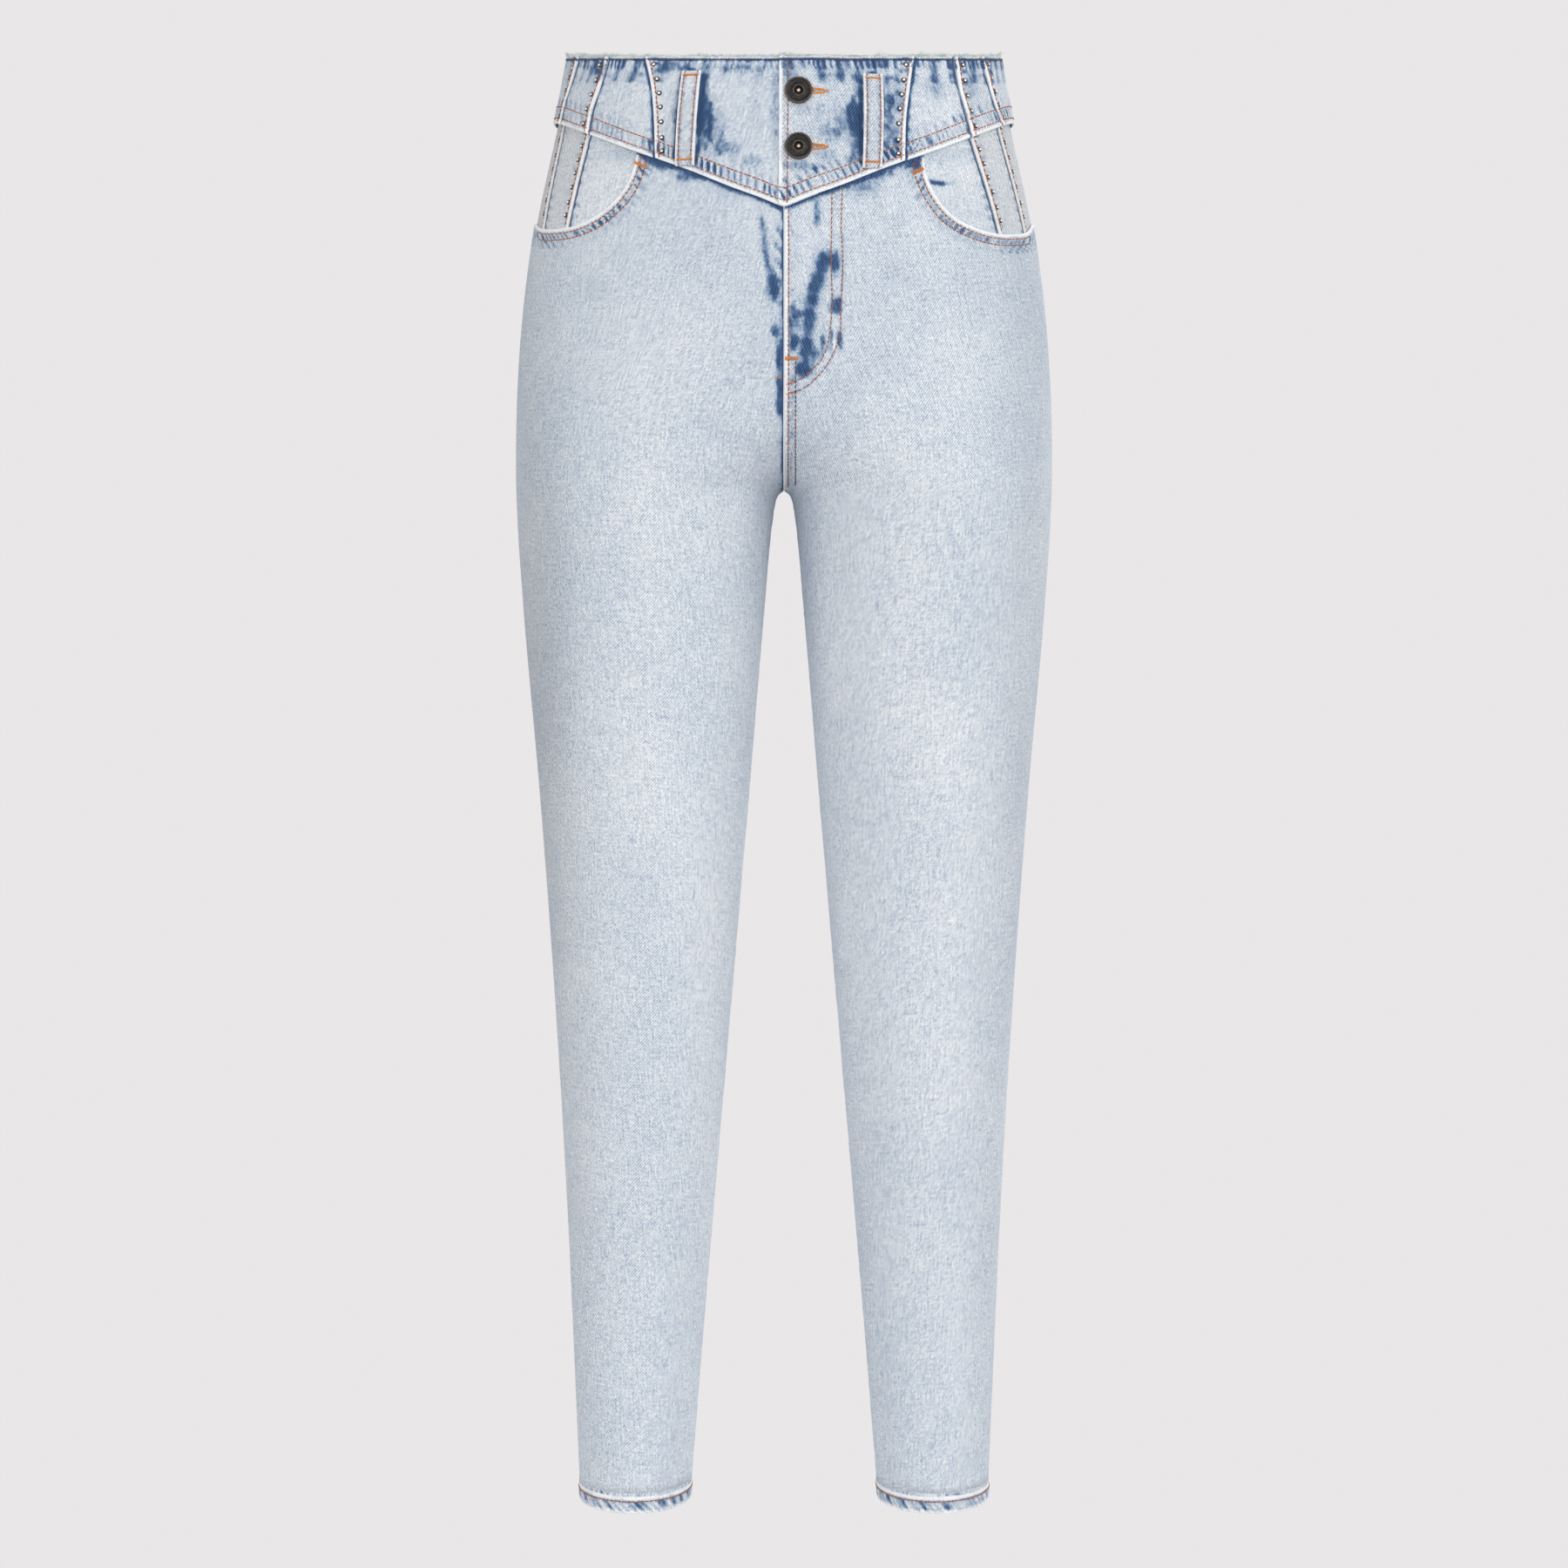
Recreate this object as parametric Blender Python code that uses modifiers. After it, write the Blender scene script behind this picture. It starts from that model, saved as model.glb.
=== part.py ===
"""High-waisted tapered jeans, filled out as they are worn, hollow and open at the waist and both hems.

Millimetres in the tables, metres in the scene. The origin is the middle of the waist, +Z is up, the front
faces -Y, and +X is the wearer's left. Every piece of cloth is a wall on one garment surface, which is
given by its sections. A place on that surface is (turn, z): turn runs from -1 at the centre front, or at
the inseam below the fork, through 0 at the side to +1 at the centre back. A place on the yoke is (column,
share): column counts its panels from -1 at the centre front, with a studded seam at 0, 1 and 2, the side
seam at 3 and the centre back at 4, and share runs from 0 at the top edge to 1 at the bottom edge.
"""

import math
from dataclasses import dataclass

import bpy
import numpy as np
from mathutils import Vector

MM = 0.001

# Cloth and seams
WALL = 1.2
GAP = 0.3
HALF_SEAM = 0.24
LOOP_WALL = 1.6
HEM_WALL = 2.4

# The fork, where the legs part
FORK_DROP = 275.5
FRONT_FORK_HEIGHT = 92.0
BACK_FORK_HEIGHT = 116.0
FORK_EASE = 1.5
FORK_ARCH = 5.0
FORK_ARCH_REACH = 2.5
UNDER_FORK = 0.008

# Edges
HEM_DROP = 916.6
HEM_DEPTH = 13.0
HEM_TILT = 0.065
SIDE_SEAM = 0.03

# The front is laid out as it reads in an elevation seen from this distance and this far below the waist
VIEW_DISTANCE = 2600.0
VIEW_DROP = 464.0
WAIST_TILT = VIEW_DROP / VIEW_DISTANCE

# How far up behind the yoke the leg panels and the pocket facings reach, as shares of its height
LEG_TUCK = 0.88
FACING_TUCK = 0.80
MOUTH_EDGE = 8.0

# Fastening
STAND_REACH = 26.0
FLY_EDGE = 3.4
OVERLAP_RISE = (26.0, 42.0)
BUTTON_ACROSS = 9.2
BUTTON_DROPS = (22.2, 57.7)
BUTTON_RADIUS = 8.5
SHANK_RADIUS = 2.1
EYELET_RADIUS = 2.8
SLIT_LENGTH = 17.0
SLIT_WIDTH = 1.6

# Belt loops
LOOP_WIDTH = 12.0
LOOP_LENGTH = 61.0
LOOP_BOW = 5.6
BACK_LOOP_TURN = 0.45
BACK_LOOP_TOP = 5.0

SIDES = {"left": 1, "right": -1}


@dataclass
class Section:
    """One level of the garment: its half width, the inner edge of a leg, both depths and its fullness."""

    drop: float
    outer: float
    inner: float
    front: float
    back: float
    fullness: float


SECTIONS = [
    Section(-30, 131.5, 0.0, 84, 90, 2.25),
    Section(0, 136.6, 0.0, 88, 96, 2.25),
    Section(42, 144.6, 0.0, 93, 104, 2.25),
    Section(109, 158.8, 0.0, 101, 120, 2.25),
    Section(186, 168.0, 0.0, 106, 131, 2.25),
    Section(253, 170.4, 3.6, 103, 124, 2.2),
    Section(277, 170.2, 5.0, 101, 118, 2.15),
    Section(297, 169.4, 7.6, 99, 113, 2.1),
    Section(353, 165.6, 12.6, 94, 103, 2.05),
    Section(464, 155.8, 21.8, 86, 90, 2.0),
    Section(630, 143.7, 36.0, 74, 77, 2.0),
    Section(741, 137.4, 45.5, 62, 77, 2.0),
    Section(852, 132.4, 54.7, 51, 71, 2.0),
    Section(940, 128.6, 61.6, 46, 63, 2.0),
]


@dataclass
class Seen:
    """A place on the front as the elevation shows it: its distance from the middle and below the waist."""

    across: float
    drop: float


# The lower edge of the yoke, from the point of its V at the centre front to the side
V_LINE = [
    Seen(0, 95.5), Seen(15, 89.6), Seen(30, 84.2), Seen(60, 72.3),
    Seen(98, 59.0), Seen(121, 50.5), Seen(140, 43.5),
]
# The same edge round the back: turn, and drop below the origin
V_LINE_BACK = [(0.30, 44.0), (0.65, 52.0), (1.0, 63.0)]


@dataclass
class MouthPoint:
    """A point of the pocket mouths: the yoke column above it, its place on each side of the garment, and
    how far across the front panel the cloth below it runs to at the fork."""

    column: float
    right: Seen
    left: Seen
    runs_to: float


MOUTH_COLUMN = {"right": 0.22, "left": 0.25}
MOUTH = [
    MouthPoint(0.50, Seen(95.5, 68.3), Seen(91.2, 76.0), 0.27),
    MouthPoint(0.62, Seen(100.2, 80.5), Seen(96.8, 87.7), 0.35),
    MouthPoint(0.74, Seen(109.0, 92.0), Seen(106.8, 99.9), 0.44),
    MouthPoint(0.87, Seen(123.5, 103.0), Seen(122.5, 108.6), 0.55),
    MouthPoint(1.0, Seen(138.5, 108.4), Seen(138.0, 112.5), 0.66),
    MouthPoint(1.5, Seen(147.0, 109.4), Seen(147.0, 112.6), 0.75),
    MouthPoint(2.0, Seen(154.2, 109.0), Seen(154.5, 111.6), 0.83),
]
# From the last studded seam to the side seam: column, turn, drop and how far across it runs to
MOUTH_SIDE = [(2.5, -0.09, 108.6, 0.92), (3.0, SIDE_SEAM, 107.4, 1.0)]


@dataclass
class SeamRow:
    """A row of a studded seam on both sides of the yoke: its share of the height, and how far across."""

    share: float
    left: float
    right: float


# The three studded seams of the yoke, from the front to the side
YOKE_SEAMS = [
    [SeamRow(0, 82.6, 88.1), SeamRow(0.3, 80.0, 84.4), SeamRow(0.6, 77.7, 82.8), SeamRow(1, 77.0, 81.9)],
    [SeamRow(0, 107.6, 110.9), SeamRow(0.4, 111.0, 116.5), SeamRow(0.7, 115.3, 121.5), SeamRow(1, 118.9, 123.8)],
    [SeamRow(0, 124.5, 129.4), SeamRow(0.4, 129.5, 134.5), SeamRow(0.7, 133.5, 138.5), SeamRow(1, 138.5, 141.2)],
]


@dataclass
class LoopPlace:
    """A front belt loop: its side, and its middle at the top and at the bottom."""

    side: str
    top: Seen
    bottom: Seen


FRONT_LOOPS = [
    LoopPlace("left", Seen(55.6, 11.5), Seen(55.4, 71.5)),
    LoopPlace("right", Seen(57.8, 9.5), Seen(62.4, 70.0)),
]


def smooth(x, xs, ys):
    """The value at x of a curve through the points (xs, ys), with no sudden change of slope."""
    x, xs, ys = np.asarray(x, float), np.asarray(xs, float), np.asarray(ys, float)
    slopes = np.gradient(ys, xs)
    i = np.clip(np.searchsorted(xs, x) - 1, 0, len(xs) - 2)
    wide = xs[i + 1] - xs[i]
    t = np.clip((x - xs[i]) / wide, 0, 1)
    return (
        (2 * t**3 - 3 * t**2 + 1) * ys[i]
        + (t**3 - 2 * t**2 + t) * wide * slopes[i]
        + (3 * t**2 - 2 * t**3) * ys[i + 1]
        + (t**3 - t**2) * wide * slopes[i + 1]
    )


def at_height(name, z):
    """A column of the section table at height z."""
    return smooth(-z, [s.drop for s in SECTIONS], [getattr(s, name) for s in SECTIONS])


def half_ring(turn, z):
    """The centre, half width, depth, fullness and first angle of the ring at z, on the front or the back."""
    behind = turn > 0
    outer, fullness = at_height("outer", z), at_height("fullness", z)
    depth = np.where(behind, at_height("back", z), at_height("front", z))
    above = z + FORK_DROP
    reach = np.where(behind, BACK_FORK_HEIGHT, FRONT_FORK_HEIGHT)
    parted = np.clip(1 - above / reach, 0, 1) ** FORK_EASE
    arch = FORK_ARCH * np.exp(np.minimum(above, 0) / FORK_ARCH_REACH)
    inner = np.where(above < 0, np.maximum(at_height("inner", z) - arch, 0), 0)
    centre = np.where(above < 0, (outer + inner) / 2, outer * parted / (1 + parted))
    first = np.where(above < 0, 0.0, np.arccos(np.clip(parted ** (fullness / 2), 0, 1)))
    return centre, outer - centre, depth, fullness, first


def surface(turn, z):
    """Points of the garment's left half, in millimetres. A turn below -1 runs on past the centre front."""
    turn, z = np.broadcast_arrays(np.asarray(turn, float), np.asarray(z, float))
    past = turn < -1
    turn = np.where(past, -2 - turn, turn)
    centre, half, depth, fullness, first = half_ring(turn, z)
    # near the fork the valley pushes aside the cloth beside it more than the cloth at the side
    share = 1 - np.abs(turn)
    crowd = 1 + 1.6 * (1 - first / (math.pi / 2))
    angle = math.pi * share + first * (1 - share) ** crowd
    c, s = np.cos(angle), np.sin(angle)
    x = centre - half * np.sign(c) * np.abs(c) ** (2 / fullness)
    y = np.sign(turn) * depth * np.abs(s) ** (2 / fullness)
    return np.stack([np.where(past, -x, x), y, z], axis=-1)


def moved_out(turn, z, lift):
    """Points of the left half moved out along the surface's own direction by lift."""
    step = 0.004
    turn, z = np.broadcast_arrays(np.asarray(turn, float), np.asarray(z, float))
    # taken on one side of the centre lines, where the two halves meet in a valley
    low = np.where((turn - step < -1) & (turn >= -1), turn, turn - step)
    along = surface(np.minimum(turn + step, 1), z) - surface(low, z)
    up = surface(turn, z + 0.5) - surface(turn, z - 0.5)
    out = np.cross(along, up)
    out /= np.maximum(np.linalg.norm(out, axis=-1, keepdims=True), 1e-9)
    return surface(turn, z) + out * np.asarray(lift, float)[..., None]


def seen(places):
    """The turns and heights of places on the front that are given as the elevation shows them."""
    across = np.array([p.across for p in places], float)
    drop = np.array([p.drop for p in places], float)
    nearness = np.ones(across.shape)
    for _ in range(8):
        x = across * nearness
        z = -VIEW_DROP + (VIEW_DROP - drop) * nearness
        centre, half, depth, fullness, first = half_ring(np.full(x.shape, -0.5), z)
        c = np.clip((centre - x) / half, -1, 1)
        angle = np.arccos(np.sign(c) * np.abs(c) ** (fullness / 2))
        y = -depth * np.sin(angle) ** (2 / fullness)
        nearness = (VIEW_DISTANCE + y) / VIEW_DISTANCE
    return -1 + (angle - first) / (math.pi - first), z


def stepped(turn, z, distance):
    """The turn that lies this far along the ring from turn, in millimetres."""
    turn, z = np.broadcast_arrays(np.asarray(turn, float), np.asarray(z, float))
    step = np.where(turn + 0.004 > 1, -0.004, 0.004)
    pace = np.linalg.norm(surface(turn + step, z) - surface(turn, z), axis=-1) / 0.004
    return turn + distance / pace


def trimmed(turn, z, first=HALF_SEAM):
    """A panel's columns with its first and last edges drawn in from their seams."""
    turn = turn.copy()
    turn[:, 0] = stepped(turn[:, 0], z[:, 0], first)
    turn[:, -1] = stepped(turn[:, -1], z[:, -1], -HALF_SEAM)
    return turn


def waist_z(turn):
    """The height of the raw top edge, which lies in one plane that dips to the front."""
    z = np.zeros(np.shape(turn))
    for _ in range(5):
        z = WAIST_TILT * surface(turn, z)[..., 1]
    return z


def yoke_end_z(turn):
    """The height of the yoke's lower edge."""
    turns, heights = seen(V_LINE)
    turns = np.concatenate([turns, [t for t, _ in V_LINE_BACK]])
    heights = np.concatenate([heights, [-d for _, d in V_LINE_BACK]])
    turn = np.asarray(turn, float)
    return smooth(np.where(turn < -1, -2 - turn, turn), turns, heights)


def yoke_z(turn, share):
    return waist_z(turn) * (1 - share) + yoke_end_z(turn) * share


def studded_seam(number, side, share):
    """The turn of a studded seam at a share of the yoke's height."""
    rows = YOKE_SEAMS[number]
    across = float(smooth(share, [r.share for r in rows], [getattr(r, side) for r in rows]))
    end_drop = float(smooth(across, [p.across for p in V_LINE], [p.drop for p in V_LINE]))
    return seen([Seen(across, share * end_drop)])[0][0]


def yoke_turns(side, columns, share):
    """The turns of yoke columns at one share of its height."""
    edges = [-1] + [studded_seam(n, side, share) for n in range(3)] + [SIDE_SEAM, 1]
    return np.interp(columns, [-1, 0, 1, 2, 3, 4], edges)


def yoke_grid(side, columns, shares):
    turn = np.array([yoke_turns(side, columns, s) for s in shares])
    return turn, yoke_z(turn, np.array(shares)[:, None])


def material(name, colour, roughness, metallic=0.0):
    made = bpy.data.materials.new(name)
    made.use_nodes = True
    shader = made.node_tree.nodes["Principled BSDF"]
    shader.inputs["Base Color"].default_value = (*colour, 1)
    shader.inputs["Roughness"].default_value = roughness
    shader.inputs["Metallic"].default_value = metallic
    return made


def cloth(name, points, side, wall, finish, closed=False):
    """A wall of cloth inside a grid of surface points: rows run down, columns from front to back."""
    rows, columns = points.shape[:2]
    points = points * np.array([SIDES[side], 1, 1]) * MM
    faces = []
    for r in range(rows - 1):
        for c in range(columns if closed else columns - 1):
            d = (c + 1) % columns
            near, far = r * columns + c, (r + 1) * columns + d
            # every layer is halved the same way, so that layers of one surface stay clear of each other
            halves = [(near, near - c + d, far), (near, far, far - d + c)]
            faces += [h[::-1] if SIDES[side] == 1 else h for h in halves]
    mesh = bpy.data.meshes.new(name)
    mesh.from_pydata(points.reshape(-1, 3).tolist(), [], faces)
    mesh.materials.append(finish)
    mesh.shade_smooth()
    obj = bpy.data.objects.new(name, mesh)
    garment.objects.link(obj)
    solid = obj.modifiers.new("wall", "SOLIDIFY")
    solid.thickness = wall * MM
    solid.offset = -1
    return obj


def plain_lift(turn, z):
    """The yoke lies on the leg panels."""
    return np.full(np.shape(turn), GAP + WALL)


def overlap_lift(turn, z):
    """The buttoned edge lies on the button stand, and comes down to the rest of the yoke beside it."""
    x = np.abs(surface(turn, z)[..., 0])
    low, high = OVERLAP_RISE
    t = np.clip((x - low) / (high - low), 0, 1)
    return GAP + WALL + (WALL + GAP) * (1 - t * t * (3 - 2 * t))


YOKE_SHARES = [0, 0.22, 0.44, 0.66, LEG_TUCK, 1]
CENTRE_COLUMNS = np.linspace(-1, 0, 6)
SIDE_TO_BACK = np.linspace(3, 4, 14)


def yoke_panel(name, side, columns):
    """A panel of the yoke between two of its columns."""
    turn, z = yoke_grid(side, columns, YOKE_SHARES)
    turn = trimmed(turn, z)
    return cloth(name, moved_out(turn, z, plain_lift(turn, z)), side, WALL, denim)


def centre_panel(name, side, reach, steps, lift):
    """A centre panel, which runs on past the centre front by reach."""
    turn, _ = yoke_grid(side, CENTRE_COLUMNS, YOKE_SHARES)
    past = stepped(-1.0, -40.0, -reach) + (1 + stepped(-1.0, -40.0, reach)) * np.arange(steps) / steps
    turn = np.concatenate([np.repeat(past[None, :], len(YOKE_SHARES), axis=0), turn], axis=1)
    z = yoke_z(turn, np.array(YOKE_SHARES)[:, None])
    turn = trimmed(turn, z, 0)
    return cloth(name, moved_out(turn, z, lift(turn, z)), side, WALL, denim)


def hem_z(turn, above):
    """A line round the leg this far above its lower edge, which dips a little to the front."""
    z = np.full(np.shape(turn), -HEM_DROP)
    return z + HEM_TILT * surface(turn, z)[..., 1] + above


def fanned(turn, z, fork_turns):
    """Rows of a leg panel after its first two: they fan out to the fork, then run down to the hem."""
    fan, down = 8, 9
    u = 1 - (1 - np.arange(1, fan) / fan) ** 2
    # the last fan row is the fork's own
    u = np.append(u, 1.0)[:, None]
    z_fan = z[-1] + (-FORK_DROP - z[-1]) * u
    turn_fan = turn[-1] + (fork_turns - turn[-1]) * (1 - (1 - u) ** 2)
    end = hem_z(fork_turns, HEM_DEPTH + GAP)
    v = np.append(UNDER_FORK, ((np.arange(down) + 1) / down) ** 1.6)[:, None]
    z_down = -FORK_DROP + (end + FORK_DROP) * v
    turn_down = np.repeat(fork_turns[None, :], len(v), axis=0)
    return np.concatenate([turn, turn_fan, turn_down]), np.concatenate([z, z_fan, z_down])


def mouth_edge(side):
    """The pocket mouth's turns and heights, from the yoke to the side seam."""
    turn, z = seen([getattr(p, side) for p in MOUTH])
    turn = np.concatenate([turn, [t for _, t, _, _ in MOUTH_SIDE]])
    z = np.concatenate([z, [-d for _, _, d, _ in MOUTH_SIDE]])
    return turn, z


def front_leg_grid(side):
    """A front panel: tucked under the yoke, scooped out at the pocket mouth, and down to the hem."""
    columns = np.append(CENTRE_COLUMNS, MOUTH_COLUMN[side])
    turn_yoke, z_yoke = yoke_grid(side, columns, [LEG_TUCK, 1])
    turn_mouth, z_mouth = mouth_edge(side)
    runs_yoke = np.linspace(0, MOUTH[0].runs_to, len(columns) + 1)[:-1]
    runs = np.concatenate([runs_yoke, [p.runs_to for p in MOUTH], [r for _, _, _, r in MOUTH_SIDE]])
    fork_turns = -1 + (1 + SIDE_SEAM) * runs
    z_below = z_mouth - MOUTH_EDGE
    run_in = MOUTH_EDGE / (FORK_DROP + z_mouth) * 2
    turn_below = turn_mouth + (fork_turns[len(columns):] - turn_mouth) * run_in
    turn = np.concatenate([turn_yoke, np.stack([turn_mouth, turn_below])], axis=1)
    z = np.concatenate([z_yoke, np.stack([z_mouth, z_below])], axis=1)
    return fanned(turn, z, fork_turns)


def clear_of_middle(points):
    """Keeps the left and right leg panels apart where they meet."""
    points[..., 0] = np.maximum(points[..., 0], GAP / 2)
    return points


def front_leg(side):
    turn, z = front_leg_grid(side)
    turn = trimmed(turn, z)
    points = clear_of_middle(moved_out(turn, z, np.zeros(turn.shape)))
    return cloth(f"front_leg_{side}", points, side, WALL, denim)


def back_leg(side):
    """A back panel, from the side seam round to the centre back seam and the inseam."""
    turn, z = yoke_grid(side, SIDE_TO_BACK, [LEG_TUCK, 1])
    turn, z = fanned(turn, z, turn[-1])
    turn = trimmed(turn, z)
    points = clear_of_middle(moved_out(turn, z, np.zeros(turn.shape)))
    return cloth(f"back_leg_{side}", points, side, WALL, denim)


def hem(side):
    """The turned-up lower edge, doubled cloth all round the leg."""
    turn = np.linspace(-1, 1, 29)[:-1]
    z = np.stack([hem_z(turn, above) for above in (HEM_DEPTH, HEM_DEPTH / 2, 0.0)])
    points = moved_out(np.repeat(turn[None, :], 3, axis=0), z, np.full(z.shape, (HEM_WALL - WALL) / 2))
    return cloth(f"hem_{side}", points, side, HEM_WALL, denim, closed=True)


def pocket_facing(side):
    """Three panels behind the pocket mouth. Above it they follow the yoke's studded seams, and below it
    they lie on the front panel's own points."""
    turn_leg, z_leg = front_leg_grid(side)
    first = len(CENTRE_COLUMNS)
    columns = [MOUTH_COLUMN[side]] + [p.column for p in MOUTH] + [c for c, _, _, _ in MOUTH_SIDE]
    turn_top, z_top = yoke_grid(side, columns, [FACING_TUCK])
    above = np.linspace(0, 1, 4)[:-1, None]
    turn = turn_top * (1 - above) + turn_leg[0, first:] * above
    z = z_top * (1 - above) + z_leg[0, first:] * above
    turn = np.concatenate([turn, turn_leg[:3, first:]])
    z = np.concatenate([z, z_leg[:3, first:]])
    seams = [columns.index(c) for c in (MOUTH_COLUMN[side], 1.0, 2.0, 3.0)]
    for name, start, end in zip(("front", "middle", "side"), seams, seams[1:]):
        part_z = z[:, start:end + 1]
        part_turn = trimmed(turn[:, start:end + 1], part_z, HALF_SEAM if start else 0)
        lift = np.full(part_turn.shape, -(WALL + GAP))
        cloth(f"pocket_facing_{name}_{side}", moved_out(part_turn, part_z, lift), side, WALL, denim_facing)


def bow(share):
    """How far a belt loop stands off the yoke, from one sewn end to the other."""
    return LOOP_BOW * np.sin(math.pi * share) ** 0.6


def belt_loop(name, side, turns, heights):
    """A doubled strip whose ends lie on the yoke and whose middle stands off it, so that a belt goes through."""
    share = np.linspace(0, 1, 11)
    turn = turns[0] + (turns[1] - turns[0]) * share
    z = heights[0] + (heights[1] - heights[0]) * share
    grid = np.stack([stepped(turn, z, a) for a in (-LOOP_WIDTH / 2, 0, LOOP_WIDTH / 2)], axis=1)
    z = np.repeat(z[:, None], 3, axis=1)
    lift = WALL + GAP + GAP + LOOP_WALL + bow(share)
    points = moved_out(grid, z, np.repeat(lift[:, None], 3, axis=1))
    return cloth(name, points, side, LOOP_WALL, denim)


def centre_back_loop():
    """The loop over the centre back seam, laid out from the two mirrored halves."""
    share = np.linspace(0, 1, 11)
    z = float(waist_z(np.array([1.0]))[0]) - BACK_LOOP_TOP - LOOP_LENGTH * share
    edge = stepped(np.ones(len(share)), z, -LOOP_WIDTH / 2)
    lift = WALL + GAP + GAP + LOOP_WALL + bow(share)
    left = moved_out(edge, z, lift)
    middle = moved_out(np.ones(len(share)), z, lift) * np.array([0, 1, 1])
    points = np.stack([left, middle, left * np.array([-1, 1, 1])], axis=1)
    return cloth("belt_loop_centre_back", points, "left", LOOP_WALL, denim)


def button_place(drop):
    """The middle of a button on the overlapping edge's outer face, and the way it faces."""
    turn, z = (float(v[0]) for v in seen([Seen(BUTTON_ACROSS, drop)]))
    foot = moved_out(turn, z, overlap_lift(turn, z))
    out = moved_out(turn, z, overlap_lift(turn, z) + 1) - foot
    return Vector(foot * MM), Vector(out).normalized()


def button(name, drop):
    """A turned tack button: a dished cap, and a shank that goes through the eyelet to the stand."""
    profile = [
        (0, 1.7), (2.4, 1.7), (3.1, 2.6), (5.5, 2.4), (7.7, 2.7), (BUTTON_RADIUS, 2.1), (8.4, 1.1),
        (7.6, 0.6), (SHANK_RADIUS, 0.6), (SHANK_RADIUS, -WALL), (0, -WALL),
    ]
    mesh = bpy.data.meshes.new(name)
    points = [(r * MM, 0, h * MM) for r, h in profile]
    mesh.from_pydata(points, [(i, i + 1) for i in range(len(points) - 1)], [])
    mesh.materials.append(gunmetal)
    obj = bpy.data.objects.new(name, mesh)
    garment.objects.link(obj)
    place, out = button_place(drop)
    obj.location = place
    obj.rotation_mode = "QUATERNION"
    obj.rotation_quaternion = out.to_track_quat("Z", "Y")
    turned = obj.modifiers.new("turned", "SCREW")
    turned.steps = turned.render_steps = 20
    turned.use_merge_vertices = True
    turned.merge_threshold = 0.00001
    return obj


def buttonhole(panel, drop):
    """Cuts an eyelet and a slit through the overlapping edge."""
    place, out = button_place(drop)
    bpy.ops.mesh.primitive_cylinder_add(vertices=16, radius=EYELET_RADIUS * MM, depth=6 * MM)
    eyelet = bpy.context.object
    bpy.ops.mesh.primitive_cube_add(size=1)
    slit = bpy.context.object
    slit.scale = (SLIT_LENGTH * MM, SLIT_WIDTH * MM, 5 * MM)
    slit.location = (SLIT_LENGTH / 2 * MM, 0, 0)
    turn = out.to_track_quat("Z", "Y").to_matrix().to_4x4()
    for obj in (eyelet, slit):
        obj.matrix_world = turn @ obj.matrix_basis
        obj.location += place
        for owner in list(obj.users_collection):
            owner.objects.unlink(obj)
        cutters.objects.link(obj)
        obj.hide_render = True
        obj.display_type = "WIRE"
        cut = panel.modifiers.new("buttonhole", "BOOLEAN")
        cut.operation = "DIFFERENCE"
        cut.object = obj


for old in list(bpy.data.objects):
    bpy.data.objects.remove(old)
garment = bpy.data.collections.new("jeans")
cutters = bpy.data.collections.new("cutters")
bpy.context.scene.collection.children.link(garment)
bpy.context.scene.collection.children.link(cutters)

denim = material("denim", (0.52, 0.63, 0.75), 0.9)
denim_facing = material("denim_facing", (0.62, 0.70, 0.79), 0.9)
gunmetal = material("button_metal", (0.05, 0.05, 0.05), 0.35, 0.9)

for side in SIDES:
    front_leg(side)
    back_leg(side)
    hem(side)
    pocket_facing(side)
    mouth = MOUTH_COLUMN[side]
    yoke_panel(f"yoke_front_{side}", side, [0, mouth, MOUTH[0].column, 0.75, 1])
    yoke_panel(f"yoke_side_{side}", side, np.linspace(1, 2, 4))
    round_back = np.concatenate([np.linspace(2, 3, 5)[:-1], SIDE_TO_BACK])
    yoke_panel(f"yoke_back_{side}", side, round_back)

buttoned = centre_panel("yoke_centre_left", "left", FLY_EDGE, 1, overlap_lift)
centre_panel("yoke_centre_right", "right", STAND_REACH, 3, plain_lift)
for number, drop in enumerate(BUTTON_DROPS, 1):
    buttonhole(buttoned, drop)
    button(f"button_{number}", drop)

for place in FRONT_LOOPS:
    turns, heights = seen([place.top, place.bottom])
    belt_loop(f"belt_loop_front_{place.side}", place.side, turns, heights)
for side in SIDES:
    top = float(waist_z(np.array([BACK_LOOP_TURN]))[0]) - BACK_LOOP_TOP
    belt_loop(f"belt_loop_back_{side}", side, (BACK_LOOP_TURN, BACK_LOOP_TURN), (top, top - LOOP_LENGTH))
centre_back_loop()
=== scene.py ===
"""Looks of a pair of high-waisted, light washed tapered jeans, filled out as they are worn.

Sizes are in millimetres until a mesh is made. Every piece of cloth is a closed shell on one garment form,
on which a place is (turn, z): turn runs from -1 at the centre front, or at the inseam below the fork,
through 0 at the side to +1 at the centre back. A place on the yoke is (column, share): column counts its
panels from -1 at the centre front, with a studded seam at 0, 1 and 2, the side seam at 3 and the centre
back at 4, and share runs from 0 at the raw top edge to 1 at the bottom edge.
"""

import logging
import math
from collections.abc import Callable
from dataclasses import dataclass, field, replace
from enum import Enum

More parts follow.
